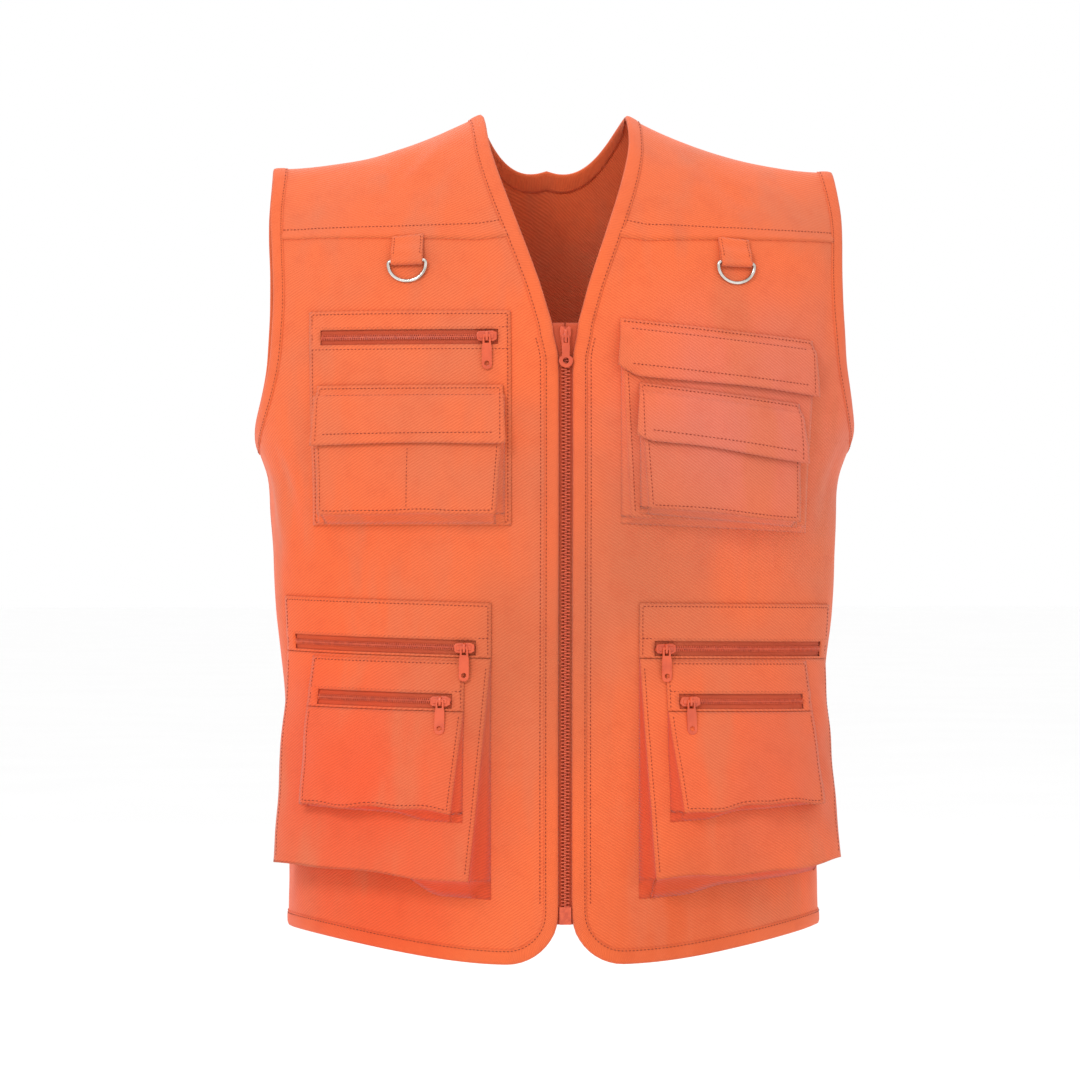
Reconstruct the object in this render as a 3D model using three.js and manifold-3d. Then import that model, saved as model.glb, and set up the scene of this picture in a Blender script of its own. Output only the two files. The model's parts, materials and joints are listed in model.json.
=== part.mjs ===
// A utility work vest: a worn shell of front, yoke and back panels with bound edges, a front zip,
// two D-rings on tabs, two chest pockets and two wedge-shaped lower pockets with smaller ones on them.
// Millimetres, +Z up, front towards -Y, +X to the right of someone who looks at the front.
// The origin lies midway between the two points where the shoulders meet the neck.
import * as THREE from "three";
import { mergeVertices } from "three/addons/utils/BufferGeometryUtils.js";
import Module from "manifold-3d";

const wasm = await Module();
wasm.setup();

// The worn shell
const LENGTH = 678; // neck point to the front hem, measured straight down
const HEM_LIFT = 24; // how much higher the hem is at the sides and the back
const HALF_WIDTH = 232; // centre line to the side at chest height
const FRONT_DEPTH = 126; // side seams to the front of the chest
const BACK_DEPTH = 112; // side seams to the back
const ROUNDNESS = 2.4; // exponent of the rounded cross-section, 2 is an ellipse
const SHOULDER_ROLL = 220; // drop over which the shoulders curve to full depth
const SHOULDER_DROP = 41; // fall of the shoulder line from the neck to the armhole
const SHOULDER_FADE = 150; // drop by which the slope of the shoulders has gone
const NECK_HALF = 67; // centre line to the neck point
const V_DEPTH = 171; // drop of the bottom of the V neck
const BACK_NECK_DEPTH = 58;
const ARMHOLE_DEPTH = 262; // drop of the bottom of the armholes
const YOKE_LEVEL = 98; // drop of the yoke seams
const HEM_CORNER = 40; // radius of the front bottom corners

// Cloth, bindings and clearances
const CLOTH = 1.6;
const POCKET_CLOTH = 1.2;
const BINDING = 1; // thickness of a binding's leaf
const BINDING_WIDTH = 10.4;
const GAP = 0.3; // between pieces that are sewn or laid together
const LAYER_GAP = 0.5; // between a pocket's cloth and what it is sewn on
const BINDING_GAP = 1.1; // between a panel and the binding folded over its edge
const LINING_GAP = 1.7; // between a panel and the inner leaf of its binding
const STATION = 24; // spacing of the upright grid lines that stacked layers share

// Front zip
const TEETH_WIDTH = 6.4;
const TEETH_SLOT = 9.2; // clear width between the two bound front edges
const SLOT_FADE = 29; // length over which the V closes to the slot
const TAPE_WIDTH = 14;
const TAPE = 1.2;
const ZIP_END = 30; // height of the zip's bottom end above the front hem
const PIN_BOX = { width: 8, height: 14, proud: 0.8 };

// Sliders and pullers
const SLIDER = { width: 8.4, length: 16, plate: 1.4, crownWidth: 2, crownLength: 8, crownWall: 1 };
const PULLER_BAR = 1.5; // thickness of a puller and of the bar under the slider's crown
const PULLER_CLEARANCE = 0.55; // between the bar and the slider's plate or crown
const PULLER_WINDOW = { width: 3.6, length: 5.6 };
const FRONT_PULLER = { length: 25, width: 6.2, eye: 11.2, hole: 2.4 };
const POCKET_PULLER = { length: 27, width: 8, eye: 8, hole: 2 };
const POCKET_ZIP = { tape: 11.4, tapeThickness: 0.8, coil: 4.6, coilHeight: 1.3 };

// D-rings on their tabs
const RING = { width: 33, height: 19, wire: 3, corner: 5, clearance: 0.75 };
const TAB = { width: 25, length: 29, leaf: 1.2, seam: 8 };
const TAB_CENTRE = { left: 125, right: 139 }; // distance of each tab from the zip

// Pockets: inner is the distance of the near edge from the zip, drops are measured from the yoke seams
// or up from the hem, slants are the fall of an edge for each millimetre away from the zip
const CHEST_LEFT = { inner: 43.5, width: 163, drop: 62, height: 170, bandHeight: 15 };
const CHEST_LEFT_FLAP = { inner: 50, width: 149, drop: 121, height: 46 };
const CHEST_LEFT_BAG = { margin: 5, drop: 129, mouth: 3.6, depth: 12, bottomInset: 8, side: 7 };
const CHEST_RIGHT = { inner: 44, width: 162, drop: 68, height: 163, topSlant: 0.1, bottomSlant: 0.045 };
const CHEST_RIGHT_FLAP = { height: 44, corner: 14 };
const CHEST_RIGHT_DEPTH = { mouth: 3.2, depth: 6, bottomInset: 6, side: 6, lip: 7 };
const CHEST_FRONT = { inner: 58, width: 132, drop: 119, height: 104, mouth: 3.4, depth: 11, side: 5 };
const CHEST_FRONT_FLAP = { drop: 111, height: 45, slant: 0.12 };
const LOWER = { inner: 59, width: 181, aboveHem: 26, height: 236, bandHeight: 30, zipMargin: 12 };
const LOWER_SLANT = { left: -0.03, right: 0.012 };
const LOWER_BAG = { mouth: 0.8, depth: 23, bottomInset: 15, side: 11, bottomSlant: -0.07 };
const SMALL = { inner: 80, width: 126, below: 46, height: 128, bandHeight: 26, zipMargin: 9 };
const SMALL_BAG = { mouth: 0.8, depth: 10, bottomInset: 8, side: 6, bottomSlant: -0.06 };
const ZIP_WINDOW = 12; // height of the slot that a pocket's zip lies in
const WINDOW_RIM = 2; // cloth left below that slot
const SLIDER_INSET = 9; // from the near end of a pocket's zip to the middle of its slider

// Cross-sections of the shell. Level is 0 at the neck point, 1 at the bottom of the armholes and 2 at
// the front hem. Width, front and back are shares of HALF_WIDTH, FRONT_DEPTH and BACK_DEPTH.
const SECTIONS = [
  { level: 0, width: 1.1, front: 0.97, back: 0.96 },
  { level: 0.58, width: 1.1, front: 0.97, back: 1 },
  { level: 0.82, width: 1.08, front: 0.99, back: 1 },
  { level: 1, width: 1.045, front: 1, back: 0.99 },
  { level: 1.07, width: 1.01, front: 1, back: 0.97 },
  { level: 1.15, width: 1, front: 1, back: 0.93 },
  { level: 1.27, width: 0.98, front: 0.98, back: 0.88 },
  { level: 1.45, width: 0.955, front: 0.95, back: 0.86 },
  { level: 1.7, width: 0.935, front: 0.94, back: 0.9 },
  { level: 1.93, width: 0.93, front: 0.95, back: 0.95 },
  { level: 2.1, width: 0.93, front: 0.95, back: 0.97 },
];

// The armhole edge: turn is the share of the quarter turn from the front or back centre to the side.
const ARMHOLE_EDGE = [
  { level: 0, turn: 0.674 },
  { level: 0.19, turn: 0.69 },
  { level: 0.57, turn: 0.68 },
  { level: 0.73, turn: 0.708 },
  { level: 0.82, turn: 0.747 },
  { level: 0.9, turn: 0.81 },
  { level: 0.954, turn: 0.88 },
  { level: 0.98, turn: 0.93 },
  { level: 0.994, turn: 0.967 },
  { level: 1, turn: 1 },
];

// The V neck: drop is a share of V_DEPTH, half is a share of NECK_HALF beyond the slot of the zip.
const V_EDGE = [
  { drop: 0, half: 1 },
  { drop: 0.15, half: 0.95 },
  { drop: 0.3, half: 0.815 },
  { drop: 0.6, half: 0.47 },
  { drop: 0.8, half: 0.25 },
  { drop: 1, half: 0.084 },
];

// Soft folds pressed into the shell: across is a share of the way from the zip to the side seam,
// level as in SECTIONS, spread and rise are half sizes in the same shares, height in millimetres.
const FOLDS = [
  { across: 0.93, level: 1.13, spread: 0.1, rise: 0.1, height: -4 },
  { across: 0.9, level: 1.3, spread: 0.12, rise: 0.12, height: 3 },
  { across: 1.1, level: 1.5, spread: 0.14, rise: 0.3, height: -4 },
  { across: 1.45, level: 1.35, spread: 0.2, rise: 0.35, height: -5 },
  { across: 1.28, level: 1.9, spread: 0.16, rise: 0.35, height: 5 },
  { across: 1.7, level: 1.9, spread: 0.16, rise: 0.3, height: 4 },
];

// Rows of the grids, as levels
const YOKE_ROWS = 5;
const SIDE_LEVELS = [0.52, 0.65, 0.75, 0.84, 0.91, 0.954, 0.98, 0.994, 1];
const ARMHOLE_TURN_LEVEL = 0.8; // below it the armhole edge turns towards its bottom
const BODY_LEVELS = [1.11, 1.25, 1.4, 1.55, 1.7, 1.84];
const BACK_LEVELS = [1.11, 1.33, 1.58, 1.84]; // the back has fewer rows, as nothing is sewn on it
const ROW_SPACING = 20; // usual step of rows along bindings, zips and pockets, mm
const NECK_SPACING = 10; // step of rows along the V neck, mm

const MATERIALS = {
  twill: { color: 0xf07644, roughness: 0.9, metalness: 0 },
  binding: { color: 0xe86c3c, roughness: 0.88, metalness: 0 },
  tape: { color: 0xe0603a, roughness: 0.9, metalness: 0 },
  zip: { color: 0xe96a3c, roughness: 0.55, metalness: 0 },
  nickel: { color: 0xc9c7c2, roughness: 0.3, metalness: 1 },
};

const vest = new THREE.Group();

// Numbers and tables

function smooth(share) {
  const s = Math.min(1, Math.max(0, share));
  return s * s * (3 - 2 * s);
}

// A table's column at a value of its key column, as a smooth curve through the rows.
function readTable(table, key, column, value) {
  let i = 0;
  while (i < table.length - 2 && table[i + 1][key] < value) i++;
  const slope = (k) => {
    const before = table[Math.max(0, k - 1)];
    const after = table[Math.min(table.length - 1, k + 1)];
    return (after[column] - before[column]) / (after[key] - before[key]);
  };
  const from = table[i];
  const to = table[i + 1];
  const span = to[key] - from[key];
  const t = Math.min(1, Math.max(0, (value - from[key]) / span));
  const t2 = t * t;
  const t3 = t2 * t;
  return (
    from[column] * (2 * t3 - 3 * t2 + 1) +
    slope(i) * span * (t3 - 2 * t2 + t) +
    to[column] * (3 * t2 - 2 * t3) +
    slope(i + 1) * span * (t3 - t2)
  );
}

function levelOf(drop) {
  return drop < ARMHOLE_DEPTH
    ? drop / ARMHOLE_DEPTH
    : 1 + (drop - ARMHOLE_DEPTH) / (LENGTH - ARMHOLE_DEPTH);
}

function dropOf(level) {
  return level < 1 ? level * ARMHOLE_DEPTH : ARMHOLE_DEPTH + (level - 1) * (LENGTH - ARMHOLE_DEPTH);
}

// The shell as a surface. A place on it is given by around, the distance along the cloth from the zip
// line round one side to the back centre, and drop, the distance below the shoulder ridge.

// The fall of the shoulder ridge: it flattens towards the armhole and keeps its slope inside the neck.
function shoulderFall(x) {
  const share = Math.min(1, (x - NECK_HALF) / (HALF_WIDTH - NECK_HALF));
  return share < 0 ? 2 * SHOULDER_DROP * share : SHOULDER_DROP * (1 - (1 - share) ** 2);
}

// The point at an angle from the front centre, 0, over the side, a quarter turn, to the back centre.
function sectionPoint(angle, drop) {
  const level = levelOf(drop);
  const power = 2 / ROUNDNESS;
  const cosine = Math.cos(angle);
  const sine = Math.max(0, Math.sin(angle));
  const x = HALF_WIDTH * readTable(SECTIONS, "level", "width", level) * sine ** power;
  const depth =
    cosine > 0
      ? -FRONT_DEPTH * readTable(SECTIONS, "level", "front", level)
      : BACK_DEPTH * readTable(SECTIONS, "level", "back", level);
  const roll = drop < SHOULDER_ROLL ? Math.sqrt(1 - (1 - drop / SHOULDER_ROLL) ** 2) : 1;
  const y = depth * roll * Math.abs(cosine) ** power;
  const z = -drop - shoulderFall(x) * (1 - smooth(drop / SHOULDER_FADE));
  return new THREE.Vector3(x, y, z);
}

const ARC_STEPS = 120; // steps of the half turn from the front centre to the back centre
const arcTables = new Map();

// Distances along the cloth from the front centre, at each step of the half turn.
function arcTable(drop) {
  const key = Math.round(drop * 1000);
  if (!arcTables.has(key)) {
    const list = [0];
    let last = sectionPoint(0, drop);
    for (let i = 1; i <= ARC_STEPS; i++) {
      const next = sectionPoint((Math.PI * i) / ARC_STEPS, drop);
      list.push(list[i - 1] + next.distanceTo(last));
      last = next;
    }
    arcTables.set(key, list);
  }
  return arcTables.get(key);
}

function angleAt(around, drop) {
  const list = arcTable(drop);
  let i = 0;
  while (i < ARC_STEPS - 1 && list[i + 1] < around) i++;
  return (Math.PI * (i + (around - list[i]) / (list[i + 1] - list[i]))) / ARC_STEPS;
}

function aroundAt(angle, drop) {
  const list = arcTable(drop);
  const step = (angle / Math.PI) * ARC_STEPS;
  const i = Math.min(ARC_STEPS - 1, Math.floor(step));
  return list[i] + (list[i + 1] - list[i]) * (step - i);
}

const sideSeam = (drop) => aroundAt(Math.PI / 2, drop);
const backCentre = (drop) => aroundAt(Math.PI, drop);

function foldHeight(around, drop) {
  const across = around / sideSeam(drop);
  const level = levelOf(drop);
  let height = 0;
  for (const fold of FOLDS) {
    const a = (across - fold.across) / fold.spread;
    const b = (level - fold.level) / fold.rise;
    height += fold.height * Math.exp(-(a * a + b * b));
  }
  return height;
}

// The tangents and the outward normal of the shell on the right side.
function surfaceFrame(around, drop) {
  const turn = 0.004;
  const step = 0.5;
  const angle = Math.min(Math.PI - turn, Math.max(turn, angleAt(around, drop)));
  const across = sectionPoint(angle + turn, drop).sub(sectionPoint(angle - turn, drop)).normalize();
  const down = sectionPoint(angle, drop + step);
  down.sub(sectionPoint(angle, Math.max(0, drop - step))).normalize();
  const normal = new THREE.Vector3().crossVectors(down, across).normalize();
  return { across, down, normal };
}

// A point of a layer, height millimetres outside the shell's inner face. Side is 1 on the right and
// -1 on the left, which mirrors it.
function layerPoint(side, around, drop, height) {
  const point = sectionPoint(angleAt(around, drop), drop);
  const lift = height + foldHeight(around, drop);
  point.addScaledVector(surfaceFrame(around, drop).normal, lift);
  point.x *= side;
  return point;
}

// Edges of the panels, as distances from the zip line

const slotHalf = TEETH_SLOT / 2 + BINDING_GAP + BINDING;

function frontEdge(drop) {
  if (drop < V_DEPTH) {
    return slotHalf + (NECK_HALF - slotHalf) * readTable(V_EDGE, "drop", "half", drop / V_DEPTH);
  }
  const last = V_EDGE[V_EDGE.length - 1].half * (NECK_HALF - slotHalf);
  return slotHalf + last * (1 - smooth((drop - V_DEPTH) / SLOT_FADE));
}

function armholeAngle(drop) {
  const turn = readTable(ARMHOLE_EDGE, "level", "turn", levelOf(drop));
  return (Math.min(1, turn) * Math.PI) / 2;
}

function frontOuterEdge(drop) {
  return drop < ARMHOLE_DEPTH
    ? Math.min(aroundAt(armholeAngle(drop), drop), sideSeam(drop) - GAP / 2)
    : sideSeam(drop) - GAP / 2;
}

function backOuterEdge(drop) {
  return drop < ARMHOLE_DEPTH
    ? Math.max(aroundAt(Math.PI - armholeAngle(drop), drop), sideSeam(drop) + GAP / 2)
    : sideSeam(drop) + GAP / 2;
}

function hemDrop(around) {
  const side = sideSeam(LENGTH);
  const rise = smooth((around - 0.15 * side) / (0.75 * side));
  const inset = around - slotHalf;
  const corner =
    inset < HEM_CORNER ? HEM_CORNER - Math.sqrt(HEM_CORNER ** 2 - (HEM_CORNER - inset) ** 2) : 0;
  return LENGTH - HEM_LIFT * rise - corner;
}

// The drop at which the yoke seam runs level with YOKE_LEVEL in spite of the shoulder slope.
function yokeSeam(around) {
  let low = 0;
  let high = YOKE_LEVEL;
  for (let i = 0; i < 30; i++) {
    const middle = (low + high) / 2;
    if (-sectionPoint(angleAt(around, middle), middle).z < YOKE_LEVEL) low = middle;
    else high = middle;
  }
  return (low + high) / 2;
}

// The drop just off the shoulder ridge, where front and back keep their gap.
function ridgeDrop() {
  const share = (1.5 * GAP) / BACK_DEPTH;
  return SHOULDER_ROLL * (1 - Math.sqrt(1 - share ** 2));
}

// Solids

// A geometry from points and triangles, with its faces turned outwards.
function solid(points, triangles) {
  let volume = 0;
  for (const [a, b, c] of triangles) {
    volume += points[a].dot(new THREE.Vector3().crossVectors(points[b], points[c]));
  }
  const index = volume < 0 ? triangles.flatMap(([a, b, c]) => [a, c, b]) : triangles.flat();
  const geometry = new THREE.BufferGeometry().setFromPoints(points);
  geometry.setIndex(index);
  geometry.computeVertexNormals();
  return geometry;
}

// The closed solid between an outer and an inner skin, each a function of column and row. A cell that
// keep refuses is a hole right through. Left of the middle column the diagonals are mirrored.
function sheet(columns, rows, outer, inner, keep = () => true, middle = 0) {
  const points = [];
  const triangles = [];
  const names = new Map();
  const vertex = (skin, c, r) => {
    const name = `${skin === outer} ${c} ${r}`;
    if (!names.has(name)) {
      names.set(name, points.length);
      points.push(skin(c, r));
    }
    return names.get(name);
  };
  const quad = (a, b, c, d) => triangles.push([a, b, c], [a, c, d]);
  const face = (skin, corners, mirrored) => {
    const ring = corners.map(([i, j]) => vertex(skin, i, j));
    quad(...(mirrored ? [...ring.slice(1), ring[0]] : ring));
  };
  const kept = (c, r) => c >= 0 && r >= 0 && c < columns && r < rows && keep(c, r);
  const wall = (c0, r0, c1, r1) =>
    quad(vertex(outer, c0, r0), vertex(inner, c0, r0), vertex(inner, c1, r1), vertex(outer, c1, r1));
  for (let c = 0; c < columns; c++) {
    for (let r = 0; r < rows; r++) {
      if (!kept(c, r)) continue;
      const corners = [[c, r], [c + 1, r], [c + 1, r + 1], [c, r + 1]];
      face(outer, corners, c < middle);
      face(inner, [corners[0], corners[3], corners[2], corners[1]], c < middle);
      if (!kept(c, r - 1)) wall(c, r, c + 1, r);
      if (!kept(c + 1, r)) wall(c + 1, r, c + 1, r + 1);
      if (!kept(c, r + 1)) wall(c + 1, r + 1, c, r + 1);
      if (!kept(c - 1, r)) wall(c, r + 1, c, r);
    }
  }
  return solid(points, triangles);
}

// The closed solid swept through a list of rings of points. An open sweep is capped at both ends by
// the triangles of its flat profile. Before the middle ring the diagonals are mirrored.
function sweep(rings, profile, closed, middle = 0) {
  const count = rings[0].length;
  const points = rings.flat();
  const triangles = [];
  const last = closed ? rings.length : rings.length - 1;
  for (let i = 0; i < last; i++) {
    const here = i * count;
    const next = ((i + 1) % rings.length) * count;
    for (let k = 0; k < count; k++) {
      const m = (k + 1) % count;
      if (i < middle) triangles.push([here + k, here + m, next + k], [here + m, next + m, next + k]);
      else triangles.push([here + k, here + m, next + m], [here + k, next + m, next + k]);
    }
  }
  if (!closed) {
    const cap = THREE.ShapeUtils.triangulateShape(profile, []);
    const end = (rings.length - 1) * count;
    const flip = THREE.ShapeUtils.isClockWise(profile) ? -1 : 1;
    for (const [a, b, c] of cap) {
      triangles.push(flip > 0 ? [a, c, b] : [a, b, c]);
      triangles.push(flip > 0 ? [end + a, end + b, end + c] : [end + a, end + c, end + b]);
    }
  }
  return solid(points, triangles);
}

function toManifold(geometry) {
  const bare = geometry.clone();
  bare.deleteAttribute("normal");
  bare.deleteAttribute("uv");
  const merged = mergeVertices(bare.index ? bare.toNonIndexed() : bare, 1e-3);
  return new wasm.Manifold(
    new wasm.Mesh({
      numProp: 3,
      vertProperties: merged.attributes.position.array,
      triVerts: new Uint32Array(merged.index.array),
    }),
  );
}

function fromManifold(body) {
  const mesh = body.getMesh();
  const geometry = new THREE.BufferGeometry();
  geometry.setAttribute("position", new THREE.BufferAttribute(mesh.vertProperties, 3));
  geometry.setIndex(new THREE.BufferAttribute(mesh.triVerts, 1));
  geometry.computeVertexNormals();
  return geometry;
}

function addPiece(name, geometry, material) {
  const mesh = new THREE.Mesh(geometry, new THREE.MeshStandardMaterial(MATERIALS[material]));
  mesh.name = name;
  vest.add(mesh);
  return mesh;
}

// The panels

// Distances from the zip at which a row of a front panel has its grid lines.
function frontColumns(drop) {
  const inner = frontEdge(drop);
  const outer = frontOuterEdge(drop);
  const band = inner + BINDING_WIDTH;
  const fixed = [3, 4, 5, 6, 7, 8].map((k) => k * STATION);
  const last = fixed[fixed.length - 1];
  const rest = outer - BINDING_WIDTH - last;
  const sides =
    drop < ARMHOLE_DEPTH
      ? [0.25, 0.5, 0.75].map((share) => last + rest * share)
      : [last + STATION, last + 2 * STATION, last + STATION + rest / 2];
  return [
    inner,
    inner + BINDING_WIDTH / 2,
    band,
    (band + fixed[0]) / 2,
    ...fixed,
    ...sides,
    outer - BINDING_WIDTH,
    outer,
  ];
}

// Drops of the level rows that all panels share.
function sharedRows() {
  const drops = [...SIDE_LEVELS, ...BODY_LEVELS].map(dropOf);
  drops.push(ARMHOLE_DEPTH + BINDING_WIDTH);
  return drops.sort((a, b) => a - b);
}

// Drops of the shared rows between two others, not closer than spacing to each other.
function coarseRows(from, to, spacing) {
  const rows = [from];
  for (const drop of sharedRows()) {
    if (drop > rows[rows.length - 1] + spacing && drop < to - spacing / 2) rows.push(drop);
  }
  return rows.slice(1);
}

function frontPanelRows() {
  const drops = [...sharedRows(), V_DEPTH, V_DEPTH + SLOT_FADE, LENGTH - HEM_CORNER - BINDING_WIDTH];
  return drops.sort((a, b) => a - b);
}

// The drops at which each grid line of the front meets the yoke seam.
function seamDrops() {
  return frontColumns(YOKE_LEVEL).map(yokeSeam);
}

function frontPanel(side) {
  const drops = frontPanelRows();
  const seamRow = seamDrops().map((drop, c) => [frontColumns(drop)[c], drop + GAP / 2]);
  const hemColumns = frontColumns(LENGTH - HEM_CORNER);
  const hemRow = hemColumns.map((around) => [around, hemDrop(around)]);
  const middle = drops.map((drop) => frontColumns(drop).map((around) => [around, drop]));
  const grid = [seamRow, ...middle, hemRow];
  return sheet(
    hemColumns.length - 1,
    grid.length - 1,
    (c, r) => layerPoint(side, ...grid[r][c], CLOTH),
    (c, r) => layerPoint(side, ...grid[r][c], 0),
  );
}

function yokeRowShare(row) {
  return 1 - Math.cos((row / YOKE_ROWS) * (Math.PI / 2));
}

// The drop of a yoke's grid point: from the ridge down to the seam, closer together near the ridge.
function yokeDrop(row, seam) {
  return ridgeDrop() + (seam - GAP / 2 - ridgeDrop()) * yokeRowShare(row);
}

function frontYoke(side) {
  const seams = seamDrops();
  const spot = (c, r) => {
    const drop = yokeDrop(r, seams[c]);
    return [frontColumns(drop)[c], drop];
  };
  return sheet(
    seams.length - 1,
    YOKE_ROWS,
    (c, r) => layerPoint(side, ...spot(c, r), CLOTH),
    (c, r) => layerPoint(side, ...spot(c, r), 0),
  );
}

const NECK_SHARES = [0, 0.38, 0.7, 0.87, 0.95, 1]; // grid lines from the back centre to the neck point
const NECK_COLUMNS = NECK_SHARES.length - 1;
const BACK_COLUMNS = 6;
const BACK_TOP_ROWS = 3;
const BACK_TOP = 1.25 * BACK_NECK_DEPTH; // drop by which the rows of the back are level
const LEAF_SHARE = 0.3; // of a leaf's width, where the neck binding bends with the shoulder

function backColumnInset(column, drop) {
  const outer = backCentre(drop) - backOuterEdge(drop);
  if (column <= NECK_COLUMNS) return NECK_HALF * NECK_SHARES[column];
  if (column === NECK_COLUMNS + BACK_COLUMNS + 1) return outer;
  const share = ((column - NECK_COLUMNS) / BACK_COLUMNS) ** 0.65;
  return NECK_HALF + (outer - BINDING_WIDTH - NECK_HALF) * share;
}

function backNeckDrop(inset) {
  const share = Math.min(1, inset / NECK_HALF);
  return Math.max(ridgeDrop(), BACK_NECK_DEPTH * (1 - share ** 2.4));
}

// Drops of the back's rows in one column: from its top edge to the level rows and down to the hem.
function backRowDrops(column) {
  const top = backNeckDrop(backColumnInset(column, 0));
  const leaf = top + BINDING_WIDTH;
  const upper = [top, top + LEAF_SHARE * BINDING_WIDTH];
  for (let r = 0; r < BACK_TOP_ROWS; r++) upper.push(leaf + ((BACK_TOP - leaf) * r) / BACK_TOP_ROWS);
  const lowest = ARMHOLE_DEPTH + BINDING_WIDTH;
  const middle = sharedRows().filter((drop) => drop <= lowest);
  return [...upper, BACK_TOP, ...middle, ...BACK_LEVELS.map(dropOf), LENGTH - HEM_LIFT];
}

function backSpot(side, column, row) {
  const drop = backRowDrops(column)[row];
  return [side, backCentre(drop) - backColumnInset(column, drop), drop];
}

function backPanel() {
  const half = NECK_COLUMNS + BACK_COLUMNS + 1;
  const rows = backRowDrops(0).length - 1;
  const spot = (c, r) => backSpot(c < half ? -1 : 1, Math.abs(c - half), r);
  return sheet(
    2 * half,
    rows,
    (c, r) => layerPoint(...spot(c, r), CLOTH),
    (c, r) => layerPoint(...spot(c, r), 0),
    undefined,
    half,
  );
}

// Bindings: a channel of cloth folded over an edge, with a leaf on each face

const CHANNEL = [
  [-BINDING_WIDTH, CLOTH + BINDING_GAP],
  [-BINDING_WIDTH, CLOTH + BINDING_GAP + BINDING],
  [BINDING_GAP + BINDING, CLOTH + BINDING_GAP + BINDING],
  [BINDING_GAP + BINDING, -LINING_GAP - BINDING],
  [-BINDING_WIDTH, -LINING_GAP - BINDING],
  [-BINDING_WIDTH, -LINING_GAP],
  [BINDING_GAP, -LINING_GAP],
  [BINDING_GAP, CLOTH + BINDING_GAP],
].map(([over, height]) => new THREE.Vector2(over, height));

// The direction off the cloth's edge at a stop of a path, as steps of around and drop.
function edgeDirection(path, i, closed) {
  const count = path.length;
  const before = closed ? path[(i + count - 1) % count] : path[Math.max(0, i - 1)];
  const after = closed ? path[(i + 1) % count] : path[Math.min(count - 1, i + 1)];
  const from = sectionPoint(angleAt(before.around, before.drop), before.drop);
  const to = sectionPoint(angleAt(after.around, after.drop), after.drop);
  const { across, down, normal } = surfaceFrame(path[i].around, path[i].drop);
  const off = new THREE.Vector3().crossVectors(to.sub(from), normal).normalize();
  return { off, across: off.dot(across), down: off.dot(down) };
}

// A binding on one side of the vest along a path of stops on the edge of the cloth. Where a stop is
// level, its leaves reach straight across at the same drop, as the grid lines of the panels do.
function binding(side, path, closed) {
  const rings = path.map((stop, i) => {
    const { off, across, down } = edgeDirection(path, i, closed);
    return CHANNEL.map(({ x: over, y: height }) => {
      if (over < 0) {
        const around = stop.around + over * (stop.level ? Math.sign(across) : across);
        return layerPoint(side, around, stop.drop + (stop.level ? 0 : down * over), height);
      }
      const point = layerPoint(1, stop.around, stop.drop, height).addScaledVector(off, over);
      point.x *= side;
      return point;
    });
  });
  return sweep(rings, CHANNEL, closed);
}

function frontBinding(side) {
  const seam = seamDrops()[0];
  const drops = [];
  for (let r = 0; r <= YOKE_ROWS; r++) drops.push(yokeDrop(r, seam));
  const slotTop = V_DEPTH + SLOT_FADE;
  const cornerTop = LENGTH - HEM_CORNER - BINDING_WIDTH;
  const neck = [
    ...drops,
    ...coarseRows(seam, V_DEPTH, NECK_SPACING),
    V_DEPTH,
    slotTop,
    ...coarseRows(slotTop, cornerTop, ROW_SPACING),
    cornerTop,
  ];
  const edge = neck.map((drop) => ({ around: frontEdge(drop), drop, level: true }));
  const hem = frontColumns(LENGTH - HEM_CORNER).map((around) => ({ around, drop: hemDrop(around) }));
  return binding(side, [...edge, ...hem], false);
}

function armholeBinding(side) {
  const outerColumn = NECK_COLUMNS + BACK_COLUMNS + 1;
  const isAbove = (drop) => drop < ARMHOLE_DEPTH;
  const isLevel = (drop) => levelOf(drop) < ARMHOLE_TURN_LEVEL;
  const seam = seamDrops().pop();
  const front = frontPanelRows().filter(isAbove);
  for (let r = YOKE_ROWS; r >= 0; r--) front.unshift(yokeDrop(r, seam));
  front.sort((a, b) => b - a);
  const back = backRowDrops(outerColumn).filter(isAbove);
  const path = [
    { around: sideSeam(ARMHOLE_DEPTH), drop: ARMHOLE_DEPTH },
    ...front.map((drop) => ({ around: frontOuterEdge(drop), drop, level: isLevel(drop) })),
    ...back.map((drop) => ({ around: backOuterEdge(drop), drop, level: isLevel(drop) })),
  ];
  return binding(side, path, true);
}

// The channel with two more bends in each leaf, for the back's neck where the shoulder curves.
const BENT_CHANNEL = CHANNEL.flatMap((point, i) => {
  const next = CHANNEL[(i + 1) % CHANNEL.length];
  const isLeaf = Math.abs(next.x - point.x) > BINDING_WIDTH;
  const bends = [new THREE.Vector2(-LEAF_SHARE * BINDING_WIDTH, point.y), new THREE.Vector2(0, point.y)];
  return isLeaf ? [point, ...(next.x > point.x ? bends : bends.reverse())] : [point];
});

// The direction off the back's edge at one of its grid lines, on the right side.
function backEdgeDirection(column, columns, edgeDrop, towards) {
  const place = (c) => {
    const drop = edgeDrop(c);
    return [backCentre(drop) - backColumnInset(c, drop), drop];
  };
  const point = (c) => {
    const [around, drop] = place(c);
    return sectionPoint(angleAt(around, drop), drop);
  };
  const { down, normal } = surfaceFrame(...place(column));
  if (column === 0) return down.multiplyScalar(-towards);
  const along = point(Math.min(columns, column + 1)).sub(point(column - 1));
  const off = new THREE.Vector3().crossVectors(along, normal).normalize();
  return off.multiplyScalar(-towards * Math.sign(off.dot(down)));
}

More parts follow.
